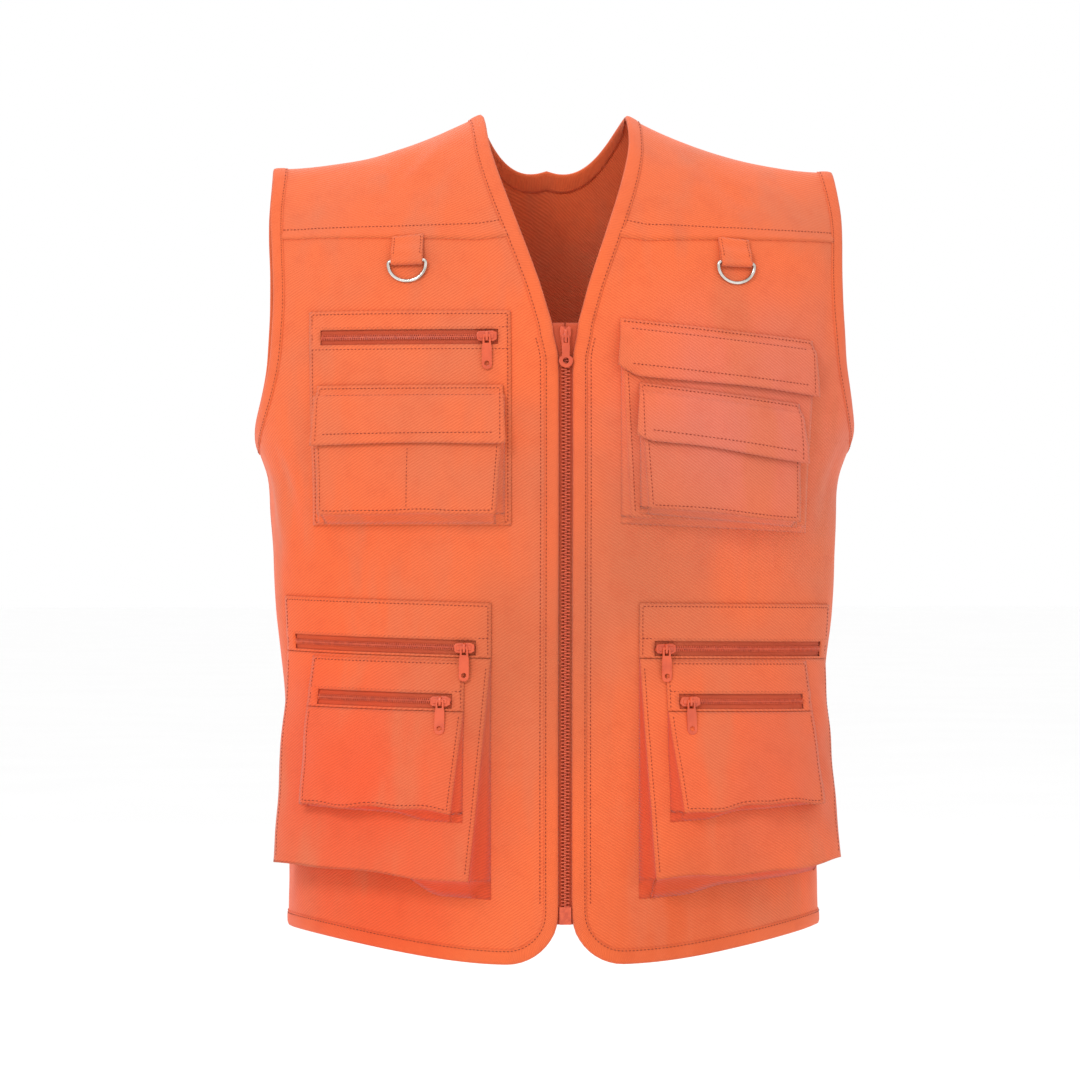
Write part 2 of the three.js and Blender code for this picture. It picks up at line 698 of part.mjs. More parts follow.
// A binding along the back's top or bottom edge. Its rings stand on the back's own grid lines, from
// the left to the right. Towards is 1 where the cloth lies below the edge and -1 where it lies above.
function backBinding(columns, edgeDrop, towards, profile) {
  const rings = [];
  for (let c = -columns; c <= columns; c++) {
    const side = c < 0 ? -1 : 1;
    const column = Math.abs(c);
    const edge = edgeDrop(column);
    const spot = (drop, height) =>
      layerPoint(side, backCentre(drop) - backColumnInset(column, drop), drop, height);
    const off = backEdgeDirection(column, columns, edgeDrop, towards);
    off.x *= side;
    rings.push(profile.map(({ x: over, y: height }) =>
      over < 0
        ? spot(edge - towards * over, height)
        : spot(edge, height).addScaledVector(off, over)));
  }
  return sweep(rings, profile, false, columns);
}

function backHemBinding() {
  return backBinding(NECK_COLUMNS + BACK_COLUMNS + 1, () => LENGTH - HEM_LIFT, -1, CHANNEL);
}

function backNeckBinding() {
  const neckDrop = (column) => backNeckDrop(backColumnInset(column, 0));
  return backBinding(NECK_COLUMNS, neckDrop, 1, BENT_CHANNEL);
}

// The front zip

const TAPE_LEVEL = -LINING_GAP - BINDING - GAP; // outer face of the tapes, under the bindings
const zipEnd = LENGTH - ZIP_END;
const pinBoxTop = zipEnd - PIN_BOX.height;

function zipRows(from, to) {
  return [from, ...coarseRows(from, to, ROW_SPACING), to];
}

// A flat strip between two drops, with its sides at two distances from the zip line on either side.
function uprightStrip(from, to, left, right, bottom, top) {
  const rows = zipRows(from, to);
  const spot = (c, r, height) => {
    const x = c ? right : left;
    return layerPoint(x < 0 ? -1 : 1, Math.abs(x), rows[r], height);
  };
  return sheet(1, rows.length - 1, (c, r) => spot(c, r, top), (c, r) => spot(c, r, bottom));
}

function zipTape(side) {
  const near = side * (GAP / 2);
  const far = side * TAPE_WIDTH;
  const sides = [Math.min(near, far), Math.max(near, far)];
  return uprightStrip(V_DEPTH, zipEnd, ...sides, TAPE_LEVEL - TAPE, TAPE_LEVEL);
}

function zipTeeth() {
  const half = TEETH_WIDTH / 2;
  return uprightStrip(V_DEPTH + GAP, pinBoxTop - GAP, -half, half, TAPE_LEVEL + GAP, CLOTH);
}

function zipPinBox() {
  const half = PIN_BOX.width / 2;
  return uprightStrip(pinBoxTop, zipEnd, -half, half, TAPE_LEVEL + GAP, CLOTH + PIN_BOX.proud);
}

// Hard pieces are drawn in a flat frame of their own, x across, y up the cloth and z off it, and are
// then set on the shell by a matrix.

// A frame at a point: x towards +X across the cloth, y from the tip towards the point, z off the cloth.
function hardFrame(origin, upwards, outwards) {
  const y = upwards.clone().normalize();
  const x = new THREE.Vector3().crossVectors(y, outwards).normalize();
  const z = new THREE.Vector3().crossVectors(x, y);
  return new THREE.Matrix4().makeBasis(x, y, z).setPosition(origin);
}

function mirroredFrame(side, around, drop) {
  const { down, normal } = surfaceFrame(around, drop);
  const flip = new THREE.Vector3(side, 1, 1);
  return { up: down.multiply(flip).negate(), out: normal.multiply(flip) };
}

function extruded(shape, depth, curveSegments = 5) {
  return new THREE.ExtrudeGeometry(shape, { depth, bevelEnabled: false, curveSegments });
}

// A slider: a shield-shaped plate that points along its zip, with a crown, an upright arch that the
// puller's bar passes under. The origin is the middle of the bar. Turned is for a zip that lies level.
const barHeight = PULLER_BAR / 2 + PULLER_CLEARANCE; // of the bar's axis above the plate

function sliderShape(turned) {
  const { width, length, plate, crownWidth, crownLength, crownWall } = SLIDER;
  const outline = new THREE.Shape();
  outline.moveTo(-width / 2, length / 2);
  outline.lineTo(width / 2, length / 2);
  outline.lineTo(width / 2, 0);
  outline.lineTo(width / 3, -length / 2);
  outline.lineTo(-width / 3, -length / 2);
  outline.lineTo(-width / 2, 0);
  const base = extruded(outline, plate).translate(0, 0, -plate - barHeight);
  if (turned) base.rotateZ(-Math.PI / 2);
  const arch = new THREE.Shape();
  const foot = -barHeight - plate / 2;
  const roof = barHeight;
  const half = crownLength / 2;
  arch.moveTo(-half, foot);
  arch.lineTo(-half, 0);
  arch.lineTo(-half + 2 * crownWall, roof + crownWall);
  arch.lineTo(half - 2 * crownWall, roof + crownWall);
  arch.lineTo(half, 0);
  arch.lineTo(half, foot);
  arch.lineTo(half - crownWall, foot);
  arch.lineTo(half - crownWall, 0);
  arch.lineTo(half - 2.4 * crownWall, roof);
  arch.lineTo(-half + 2.4 * crownWall, roof);
  arch.lineTo(-half + crownWall, 0);
  arch.lineTo(-half + crownWall, foot);
  const crown = extruded(arch, crownWidth).translate(0, 0, -crownWidth / 2);
  crown.applyMatrix4(new THREE.Matrix4().makeBasis(
    new THREE.Vector3(0, 1, 0), new THREE.Vector3(0, 0, 1), new THREE.Vector3(1, 0, 0)));
  return fromManifold(toManifold(base).add(toManifold(crown)));
}

// A puller: a flat tab that hangs from the bar at its top, with a window for the crown and an eye.
function pullerShape({ length, width, eye, hole }) {
  const { width: windowWidth, length: windowLength } = PULLER_WINDOW;
  const top = PULLER_BAR / 2;
  const neck = windowWidth / 2 + PULLER_BAR;
  const outline = new THREE.Shape();
  outline.moveTo(-neck, top);
  outline.lineTo(neck, top);
  outline.lineTo(Math.max(neck, width / 2), -windowLength - PULLER_BAR);
  outline.lineTo(width / 2, -length + eye / 2);
  outline.absarc(0, -length + eye / 2, eye / 2, 0, -Math.PI, true);
  outline.lineTo(-width / 2, -length + eye / 2);
  outline.lineTo(-Math.max(neck, width / 2), -windowLength - PULLER_BAR);
  const window = new THREE.Path();
  window.moveTo(-windowWidth / 2, -top);
  window.lineTo(-windowWidth / 2, -top - windowLength);
  window.lineTo(windowWidth / 2, -top - windowLength);
  window.lineTo(windowWidth / 2, -top);
  const opening = new THREE.Path();
  opening.absarc(0, -length + eye / 2, hole, 0, 2 * Math.PI, false);
  outline.holes.push(window, opening);
  return extruded(outline, PULLER_BAR).translate(0, 0, -PULLER_BAR / 2);
}

// A slider and its puller on one frame. The puller hangs towards tip, a point just off the cloth.
function addSlider(prefix, side, around, drop, under, puller, tipHeight, turned) {
  const { up, out } = mirroredFrame(side, around, drop);
  const pivot = layerPoint(side, around, drop, under + SLIDER.plate + barHeight);
  const tip = layerPoint(side, around, drop + puller.length, tipHeight + PULLER_BAR / 2);
  const slider = addPiece(`${prefix}_slider`, sliderShape(turned), "zip");
  slider.applyMatrix4(hardFrame(pivot, up, out));
  const tab = addPiece(`${prefix}_puller`, pullerShape(puller), "zip");
  tab.applyMatrix4(hardFrame(pivot, pivot.clone().sub(tip), out));
}

// The D-rings: each hangs in the fold at the lower end of a doubled strap

const TAB_UNDER = CLOTH + GAP; // underside of the strap's back leaf
const ringAxisHeight = TAB_UNDER + TAB.leaf + RING.clearance + RING.wire / 2;
const tabTop = () => YOKE_LEVEL - 5;

// The strap's path from its top, down the front leaf, round the fold and up the back leaf, as the
// drop below its top and the height above the shell of its two faces.
function tabProfile() {
  const fold = TAB.length;
  const innerRadius = RING.wire / 2 + RING.clearance;
  const outerRadius = innerRadius + TAB.leaf;
  const centre = fold - outerRadius;
  const stitched = TAB_UNDER + TAB.leaf + GAP;
  const outside = [[0, stitched + TAB.leaf], [TAB.seam, stitched + TAB.leaf]];
  const inside = [[0, stitched], [TAB.seam, stitched]];
  for (let i = 0; i <= 4; i++) {
    const angle = Math.PI / 2 - (Math.PI * i) / 4;
    outside.push([centre + outerRadius * Math.cos(angle), ringAxisHeight + outerRadius * Math.sin(angle)]);
    inside.push([centre + innerRadius * Math.cos(angle), ringAxisHeight + innerRadius * Math.sin(angle)]);
  }
  outside.push([0, TAB_UNDER]);
  inside.push([0, TAB_UNDER + TAB.leaf]);
  return { outside, inside, centre };
}

function dRingTab(side, centre) {
  const { outside, inside } = tabProfile();
  const columns = 2;
  const place = (profile) => (c, r) => {
    const around = centre + TAB.width * (c / columns - 0.5);
    const [below, height] = profile[r];
    return layerPoint(side, around, tabTop() + below, height);
  };
  return sheet(columns, outside.length - 1, place(outside), place(inside));
}

// A D of round wire in its own plane: the straight bar along x through the origin, the bow below.
function dRingShape() {
  const half = (RING.width - RING.wire) / 2;
  const path = [new THREE.Vector2(-half, 0), new THREE.Vector2(half, 0)];
  const bowTop = -RING.corner / 2;
  const depth = RING.height - RING.wire + bowTop;
  for (let i = 0; i <= 8; i++) {
    const angle = (Math.PI * i) / 8;
    path.push(new THREE.Vector2(half * Math.cos(angle), bowTop - depth * Math.sin(angle)));
  }
  const section = [];
  for (let k = 0; k < 6; k++) section.push(((k + 0.5) * Math.PI) / 3);
  const radius = RING.wire / 2;
  const rings = path.map((point, i) => {
    const before = path[(i + path.length - 1) % path.length];
    const after = path[(i + 1) % path.length];
    const along = after.clone().sub(point).normalize().add(point.clone().sub(before).normalize()).normalize();
    const inwards = new THREE.Vector2(-along.y, along.x);
    return section.map((angle) => new THREE.Vector3(
      point.x + inwards.x * radius * Math.cos(angle),
      point.y + inwards.y * radius * Math.cos(angle),
      radius * Math.sin(angle),
    ));
  });
  return sweep(rings, null, true);
}

function addDRing(word, side) {
  const centre = TAB_CENTRE[word];
  addPiece(`d_ring_tab_${word}`, dRingTab(side, centre), "twill");
  const drop = tabTop() + tabProfile().centre;
  const bar = layerPoint(side, centre, drop, ringAxisHeight);
  const tip = layerPoint(side, centre, drop + RING.height, CLOTH + GAP + RING.wire / 2);
  const { out } = mirroredFrame(side, centre, drop);
  const ring = addPiece(`d_ring_${word}`, dRingShape(), "nickel");
  ring.applyMatrix4(hardFrame(bar, bar.clone().sub(tip), out));
}

// Pockets. Their grids share the upright lines of the front panels and lie in layers on a ground,
// a function that gives the height on which a piece lies.

const panelGround = () => CLOTH + LAYER_GAP;

// Grid lines from one distance to another: the ends, the shared lines between and any extra ones.
function acrossLines(from, to, extra = []) {
  const lines = [from, to, ...extra];
  for (let k = Math.ceil((from + 3) / STATION); k * STATION < to - 3; k++) {
    if (extra.every((line) => Math.abs(line - k * STATION) > 2)) lines.push(k * STATION);
  }
  return lines.sort((a, b) => a - b);
}

// A flat frame of cloth with a slot for a zip. Lines and rows give its grid.
function slottedBand(side, ground, box, slot) {
  const lines = acrossLines(box.inner, box.outer, slot ? [slot.inner, slot.outer] : []);
  const rows = slot ? [box.top, slot.top, slot.bottom, box.bottom] : [box.top, box.bottom];
  if (box.rows) rows.splice(rows.length - 1, 0, ...box.rows);
  const dropAt = (c, r) => rows[r] + box.slant * (lines[c] - box.inner);
  const place = (height) => (c, r) =>
    layerPoint(side, lines[c], dropAt(c, r), ground(lines[c], dropAt(c, r)) + height);
  const keep = (c, r) =>
    !slot || !(lines[c] >= slot.inner && lines[c + 1] <= slot.outer && rows[r] === slot.top);
  return sheet(lines.length - 1, rows.length - 1, place(POCKET_CLOTH), place(0), keep);
}

// A pocket's zip: a tape with a row of fine teeth along its middle, laid across the slot.
function pocketZip(side, ground, slot, slant, inner) {
  const lines = acrossLines(slot.inner + GAP, slot.outer - GAP);
  const middle = (slot.top + slot.bottom) / 2;
  const { tape, tapeThickness, coil, coilHeight } = POCKET_ZIP;
  const profile = [
    [-tape / 2, 0],
    [tape / 2, 0],
    [tape / 2, tapeThickness],
    [coil / 2, tapeThickness],
    [coil / 2, tapeThickness + coilHeight],
    [-coil / 2, tapeThickness + coilHeight],
    [-coil / 2, tapeThickness],
    [-tape / 2, tapeThickness],
  ].map(([below, height]) => new THREE.Vector2(below, height));
  const rings = lines.map((around) => {
    const drop = middle + slant * (around - inner);
    return profile.map(({ x: below, y: height }) =>
      layerPoint(side, around, drop + below, ground(around, drop + below) + height));
  });
  return sweep(rings, profile, false);
}

// The sizes that a bag's walls follow: how far its front stands off at a place.
function bagFront(bag) {
  const topAt = (around) => bag.top + bag.topSlant * (around - bag.inner);
  const bottomAt = (around) => bag.bottom + bag.bottomSlant * (around - bag.inner);
  const frontBottomAt = (around) => bottomAt(around) - bag.bottomInset;
  const shareAt = (around, drop) =>
    Math.min(1, Math.max(0, (drop - topAt(around)) / (frontBottomAt(around) - topAt(around))));
  const insideAt = (around, drop) => bag.mouth + (bag.depth - bag.mouth) * shareAt(around, drop);
  return { topAt, bottomAt, frontBottomAt, insideAt };
}

// A hollow bag, open towards the cloth behind it and at its top edge: front, two sides and bottom.
function pocketBag(side, ground, bag) {
  const { topAt, bottomAt, frontBottomAt, insideAt } = bagFront(bag);
  const lines = acrossLines(bag.inner + 2 * bag.side, bag.outer - 2 * bag.side);
  const frontRows = bag.frontRows;
  const columns = lines.length + 3;
  const rows = frontRows + 1;
  const spot = (c, r, wall) => {
    const share = Math.min(1, r / frontRows);
    const inset = GAP + bag.side * share + wall;
    let around;
    if (c === 0) around = bag.inner + wall;
    else if (c === 1) around = bag.inner + inset;
    else if (c === columns - 1) around = bag.outer - inset;
    else if (c === columns) around = bag.outer - wall;
    else around = lines[c - 2];
    const top = topAt(around);
    const drop = r > frontRows ? bottomAt(around) - wall : top + (frontBottomAt(around) - top) * share;
    const rim = c === 0 || c === columns || r > frontRows;
    const height = rim ? 0 : insideAt(around, drop) + POCKET_CLOTH - wall;
    return layerPoint(side, around, drop, ground(around, drop) + height);
  };
  return sheet(columns, rows, (c, r) => spot(c, r, 0), (c, r) => spot(c, r, POCKET_CLOTH));
}

// The ground that a bag's front gives to what is sewn on it.
function groundOn(ground, bag) {
  const { insideAt } = bagFront(bag);
  return (around, drop) => ground(around, drop) + insideAt(around, drop) + POCKET_CLOTH + LAYER_GAP;
}

// A flap sewn on the ground along its top edge and lying over the bag below it. Corner cuts off its
// lower near corner.
function pocketFlap(side, ground, bag, flap) {
  const over = groundOn(ground, bag);
  const lines = acrossLines(flap.inner, flap.outer, [flap.inner + flap.corner, bag.outer - 2 * bag.side]);
  const { topAt } = bagFront(bag);
  const slant = (around) => flap.slant * (around - flap.inner);
  const rows = 4;
  const spot = (c, r, height) => {
    const around = lines[c];
    const cut = c === 0 ? flap.cut : 0;
    const top = flap.top + slant(around);
    const lip = topAt(around) + 0.5;
    const bottom = flap.bottom + slant(around) - cut;
    const drop = r === 0 ? top : lip + ((bottom - lip) * (r - 1)) / (rows - 1);
    const base = r === 0 ? ground(around, drop) : over(around, drop);
    return layerPoint(side, around, drop, base + height);
  };
  return sheet(lines.length - 1, rows, (c, r) => spot(c, r, POCKET_CLOTH), (c, r) => spot(c, r, 0));
}

function zipSlot(box, margin, bandHeight) {
  const top = box.top + bandHeight;
  return { inner: box.inner + margin, outer: box.outer - margin, top, bottom: top + ZIP_WINDOW };
}

// A zip in its slot with a slider at the end near the front zip.
function addPocketZip(prefix, side, ground, slot, slant, inner, tipGround) {
  addPiece(`${prefix}_zip_teeth`, pocketZip(side, ground, slot, slant, inner), "zip");
  const around = slot.inner + SLIDER_INSET;
  const drop = (slot.top + slot.bottom) / 2 + slant * (around - inner);
  const teethTop = ground(around, drop) + POCKET_ZIP.tapeThickness + POCKET_ZIP.coilHeight;
  const tipDrop = drop + POCKET_PULLER.length;
  const tip = tipGround(around, tipDrop) + GAP;
  addSlider(`${prefix}_zip`, side, around, drop, teethTop + GAP, POCKET_PULLER, tip, true);
}

// Left chest pocket: a sewn-on base with a zip across its top, and a bag with a flap on the base

function addChestLeft() {
  const side = -1;
  const top = YOKE_LEVEL + CHEST_LEFT.drop;
  const slotBottom = top + CHEST_LEFT.bandHeight + ZIP_WINDOW;
  const baseRows = coarseRows(slotBottom, top + CHEST_LEFT.height, ROW_SPACING);
  const base = {
    inner: CHEST_LEFT.inner,
    outer: CHEST_LEFT.inner + CHEST_LEFT.width,
    top,
    bottom: top + CHEST_LEFT.height,
    slant: 0,
    rows: baseRows,
  };
  const slot = zipSlot(base, LOWER.zipMargin - WINDOW_RIM, CHEST_LEFT.bandHeight);
  const flapSize = CHEST_LEFT_FLAP;
  const bagSize = CHEST_LEFT_BAG;
  const baseTop = () => panelGround() + POCKET_CLOTH + LAYER_GAP;
  const bag = {
    ...bagSize,
    inner: base.inner + bagSize.margin,
    outer: base.outer - bagSize.margin,
    top: YOKE_LEVEL + bagSize.drop,
    bottom: base.bottom - 1,
    topSlant: 0,
    bottomSlant: 0,
    frontRows: 4,
  };
  const flap = {
    inner: flapSize.inner,
    outer: flapSize.inner + flapSize.width,
    top: YOKE_LEVEL + flapSize.drop,
    bottom: YOKE_LEVEL + flapSize.drop + flapSize.height,
    slant: 0,
    corner: 6,
    cut: 0,
  };
  addPiece("chest_left_base", slottedBand(side, panelGround, base, slot), "twill");
  addPocketZip("chest_left", side, panelGround, slot, 0, base.inner, baseTop);
  addPiece("chest_left_bag", pocketBag(side, baseTop, bag), "twill");
  addPiece("chest_left_flap", pocketFlap(side, baseTop, bag, flap), "twill");
}

// Right chest pocket: a shallow bag under a slanting flap, and a second bag with its flap on it

function addChestRight() {
  const side = 1;
  const { inner, width, drop, height, topSlant, bottomSlant } = CHEST_RIGHT;
  const top = YOKE_LEVEL + drop;
  const bag = {
    ...CHEST_RIGHT_DEPTH,
    inner,
    outer: inner + width,
    top: top + CHEST_RIGHT_DEPTH.lip,
    bottom: top + height,
    topSlant,
    bottomSlant,
    frontRows: 4,
  };
  const flap = {
    inner,
    outer: inner + width,
    top,
    bottom: top + CHEST_RIGHT_FLAP.height,
    slant: topSlant,
    corner: CHEST_RIGHT_FLAP.corner,
    cut: CHEST_RIGHT_FLAP.corner / 2,
  };
  const front = CHEST_FRONT;
  const onBag = groundOn(panelGround, bag);
  const second = {
    inner: front.inner,
    outer: front.inner + front.width,
    top: YOKE_LEVEL + front.drop + CHEST_RIGHT_DEPTH.lip,
    bottom: YOKE_LEVEL + front.drop + front.height,
    topSlant: CHEST_FRONT_FLAP.slant,
    bottomSlant: 0.08,
    mouth: front.mouth,
    depth: front.depth,
    bottomInset: front.side,
    side: front.side,
    frontRows: 3,
  };
  const secondTop = YOKE_LEVEL + front.drop;
  const secondFlap = {
    inner: front.inner,
    outer: front.inner + front.width,
    top: secondTop,
    bottom: secondTop + CHEST_FRONT_FLAP.height,
    slant: CHEST_FRONT_FLAP.slant,
    corner: CHEST_RIGHT_FLAP.corner,
    cut: 0,
  };
  addPiece("chest_right_bag", pocketBag(side, panelGround, bag), "twill");
  addPiece("chest_right_flap", pocketFlap(side, panelGround, bag, flap), "twill");
  addPiece("chest_right_front_bag", pocketBag(side, onBag, second), "twill");
  addPiece("chest_right_front_flap", pocketFlap(side, onBag, second, secondFlap), "twill");
}

// A lower pocket: a zip across its top, a large wedge-shaped bag, and a smaller zipped bag on it

function addLowerPocket(word, side) {
  const slant = LOWER_SLANT[word];
  const bottom = LENGTH - HEM_LIFT - LOWER.aboveHem;
  const top = bottom - LOWER.height;
  const box = { inner: LOWER.inner, outer: LOWER.inner + LOWER.width, top, slant };
  const slot = zipSlot(box, LOWER.zipMargin, LOWER.bandHeight);
  box.bottom = slot.bottom + WINDOW_RIM;
  const bag = {
    ...LOWER_BAG,
    inner: box.inner,
    outer: box.outer,
    top: box.bottom + GAP,
    bottom,
    topSlant: slant,
    frontRows: 5,
  };
  const onBag = groundOn(panelGround, bag);
  addPiece(`lower_${word}_band`, slottedBand(side, panelGround, box, slot), "twill");
  addPiece(`lower_${word}_bag`, pocketBag(side, panelGround, bag), "twill");

  const small = { inner: SMALL.inner, outer: SMALL.inner + SMALL.width, top: top + SMALL.below, slant };
  const smallSlot = zipSlot(small, SMALL.zipMargin, SMALL.bandHeight);
  small.bottom = smallSlot.bottom + WINDOW_RIM;
  const smallBag = {
    ...SMALL_BAG,
    inner: small.inner,
    outer: small.outer,
    top: small.bottom + GAP,
    bottom: top + SMALL.below + SMALL.height,
    topSlant: slant,
    frontRows: 3,
  };
  addPiece(`lower_${word}_small_band`, slottedBand(side, onBag, small, smallSlot), "twill");
  addPiece(`lower_${word}_small_bag`, pocketBag(side, onBag, smallBag), "twill");
  const onBand = (around, drop) => onBag(around, drop) + POCKET_CLOTH;
  const onSmallBag = groundOn(onBag, smallBag);
  addPocketZip(`lower_${word}`, side, panelGround, slot, slant, box.inner, onBand);
  addPocketZip(`lower_${word}_small`, side, onBag, smallSlot, slant, small.inner, onSmallBag);
}

addPiece("back_panel", backPanel(), "twill");
addPiece("back_neck_binding", backNeckBinding(), "binding");
addPiece("back_hem_binding", backHemBinding(), "binding");
for (const [word, side] of [["left", -1], ["right", 1]]) {
  addPiece(`front_panel_${word}`, frontPanel(side), "twill");
  addPiece(`front_yoke_${word}`, frontYoke(side), "twill");
  addPiece(`front_binding_${word}`, frontBinding(side), "binding");
  addPiece(`armhole_binding_${word}`, armholeBinding(side), "binding");
  addPiece(`zip_tape_${word}`, zipTape(side), "tape");
  addDRing(word, side);
  addLowerPocket(word, side);
}
addPiece("zip_teeth", zipTeeth(), "zip");
addPiece("zip_pin_box", zipPinBox(), "zip");
const bindingTop = CLOTH + BINDING_GAP + BINDING;
addSlider("zip", 1, 0, V_DEPTH + SLIDER.length / 2 + 2, CLOTH + GAP, FRONT_PULLER, bindingTop + GAP, false);
addChestLeft();
addChestRight();

export default vest;
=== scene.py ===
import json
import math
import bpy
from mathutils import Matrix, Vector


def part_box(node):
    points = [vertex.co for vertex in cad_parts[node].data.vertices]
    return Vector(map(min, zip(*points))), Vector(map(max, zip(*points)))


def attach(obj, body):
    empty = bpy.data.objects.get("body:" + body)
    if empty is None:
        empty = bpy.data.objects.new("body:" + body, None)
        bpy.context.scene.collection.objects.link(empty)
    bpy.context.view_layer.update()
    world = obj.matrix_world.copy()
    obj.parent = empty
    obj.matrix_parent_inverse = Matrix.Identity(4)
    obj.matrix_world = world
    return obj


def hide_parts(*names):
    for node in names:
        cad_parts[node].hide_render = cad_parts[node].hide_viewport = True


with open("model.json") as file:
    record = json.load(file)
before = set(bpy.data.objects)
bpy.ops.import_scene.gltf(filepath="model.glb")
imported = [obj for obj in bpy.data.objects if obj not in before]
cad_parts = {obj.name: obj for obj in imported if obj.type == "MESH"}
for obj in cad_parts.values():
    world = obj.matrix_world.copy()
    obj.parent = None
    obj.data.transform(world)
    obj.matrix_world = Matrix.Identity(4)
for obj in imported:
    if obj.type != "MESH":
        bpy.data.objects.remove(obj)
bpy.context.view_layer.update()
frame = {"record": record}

# A utility work vest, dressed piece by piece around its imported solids. Sizes are in millimetres on the
# cloth: around is the distance from the zip along the cloth to a side, drop the distance below the
# shoulder ridge, height the distance outside the shell's inner face. Left and right are as seen by
# someone who looks at the front.
from types import SimpleNamespace as Sizes

import bpy
import numpy as np
from mathutils import Matrix, Vector

MM = 0.001
BODY = "vest"
SIDES = ((-1, "left"), (1, "right"))


def table(columns, *rows):
    """Rows of values as dictionaries, with a key for each column."""
    return [dict(zip(columns.split(), row)) for row in rows]


# The worn shell, as in the solids

LENGTH = 678
HEM_LIFT = 24
HALF_WIDTH = 232
FRONT_DEPTH = 126
BACK_DEPTH = 112
ROUNDNESS = 2.4
SHOULDER_ROLL = 220
SHOULDER_DROP = 41
SHOULDER_FADE = 150
NECK_HALF = 67
V_DEPTH = 171
BACK_NECK_DEPTH = 58
ARMHOLE_DEPTH = 262
YOKE_LEVEL = 98
HEM_CORNER = 40
CLOTH = 1.6
POCKET_CLOTH = 1.2
FLAP_CLOTH = 1.7
LAYER_GAP = 0.5
GAP = 0.3
BINDING_WIDTH = 10.4
EDGE_REACH = 2.1
SLOT_HALF = 6.7
SLOT_FADE = 29
ZIP_END = 30

# The least drop of an edge at the shoulder ridge, and of any place
RIDGE_DROP = 0.0018
LEAST_DROP = 0.001

SECTIONS = table(
    "level width front back",
    (0, 1.1, 0.97, 0.96),
    (0.58, 1.1, 0.97, 1),
    (0.82, 1.08, 0.99, 1),
    (1, 1.045, 1, 0.99),
    (1.07, 1.01, 1, 0.97),
    (1.15, 1, 1, 0.93),
    (1.27, 0.98, 0.98, 0.88),
    (1.45, 0.955, 0.95, 0.86),
    (1.7, 0.935, 0.94, 0.9),
    (1.93, 0.93, 0.95, 0.95),
    (2.1, 0.93, 0.95, 0.97),
)

ARMHOLE_EDGE = table(
    "level turn",
    (0, 0.674),
    (0.19, 0.69),
    (0.57, 0.68),
    (0.73, 0.708),
    (0.82, 0.747),
    (0.9, 0.81),
    (0.954, 0.88),
    (0.98, 0.93),
    (0.994, 0.967),
    (1, 1),
)

V_EDGE = table("drop half", (0, 1), (0.15, 0.95), (0.3, 0.815), (0.6, 0.47), (0.8, 0.25), (1, 0.084))

# Broad folds, as in the solids: across and level as shares, height in millimetres
FOLDS = table(
    "across level spread rise height",
    (0.93, 1.13, 0.1, 0.1, -4),
    (0.9, 1.3, 0.12, 0.12, 3),
    (1.1, 1.5, 0.14, 0.3, -4),
    (1.45, 1.35, 0.2, 0.35, -5),
    (1.28, 1.9, 0.16, 0.35, 5),
    (1.7, 1.9, 0.16, 0.3, 4),
)

# Small creases of the cloth. Side is 1 right, -1 left and 0 both, turn is in degrees from upright
# towards the sides, length and width are half sizes.
CREASES = table(
    "side around drop length width turn height",
    (-1, 138, 30, 30, 9, 40, -1.6),
    (-1, 118, 22, 26, 8, 62, 1.4),
    (-1, 236, 305, 34, 8, -20, -2.2),
    (-1, 252, 318, 40, 10, -24, 2),
    (-1, 120, 352, 40, 12, -12, -1.4),
    (-1, 150, 360, 32, 10, 20, 1.3),
    (-1, 40, 470, 90, 7, 2, -1.1),
    (-1, 33, 330, 60, 6, 4, 1),
    (-1, 66, 130, 44, 10, -24, -1.2),
    (-1, 214, 120, 60, 9, -4, -1.4),
    (1, 60, 116, 46, 10, -22, -1.2),
    (1, 226, 150, 70, 9, -6, -1.6),
    (1, 238, 300, 42, 9, -22, -2.2),
    (1, 260, 330, 46, 11, -18, 2),
    (1, 128, 360, 34, 12, 14, -1.3),
    (1, 40, 500, 100, 7, -1, -1),
    (1, 140, 34, 34, 10, 48, -1.3),
    (0, 265, 560, 60, 14, -8, -2.5),
    (0, 360, 430, 110, 18, 16, -3),
    (0, 420, 300, 80, 16, -22, -2.5),
    (0, 470, 520, 120, 20, 6, 3),
)

# The shell's soft unevenness: seed, usual wavelength and height
UNEVEN = ((11, 120, 0.5), (12, 46, 0.18))

# How finely lengths round the shell are measured, and the steps that give its slopes
ARC_STEPS = 120
DROPS_AT_ONCE = 3000
TURN_STEP = 0.004
DROP_STEP = 0.5


# Numbers and tables

def smooth(share):
    s = np.clip(share, 0, 1)
    return s * s * (3 - 2 * s)


def unit(vectors):
    return vectors / np.linalg.norm(vectors, axis=-1, keepdims=True)


def running(steps):
    """The distance reached after each step, from 0."""
    return np.concatenate([[0], np.cumsum(steps)])


def read_table(rows, key, column, value):
    """A smooth curve through a column of a table, read at values of its key."""
    keys = np.array([row[key] for row in rows], float)
    values = np.array([row[column] for row in rows], float)
    count = len(keys)
    before = np.maximum(np.arange(count) - 1, 0)
    after = np.minimum(np.arange(count) + 1, count - 1)
    slopes = (values[after] - values[before]) / (keys[after] - keys[before])
    value = np.asarray(value, float)
    i = np.clip(np.searchsorted(keys[1:], value, side="left"), 0, count - 2)
    span = keys[i + 1] - keys[i]
    t = np.clip((value - keys[i]) / span, 0, 1)
    t2 = t * t
    t3 = t2 * t
    start = values[i] * (2 * t3 - 3 * t2 + 1) + slopes[i] * span * (t3 - 2 * t2 + t)
    return start + values[i + 1] * (3 * t2 - 2 * t3) + slopes[i + 1] * span * (t3 - t2)


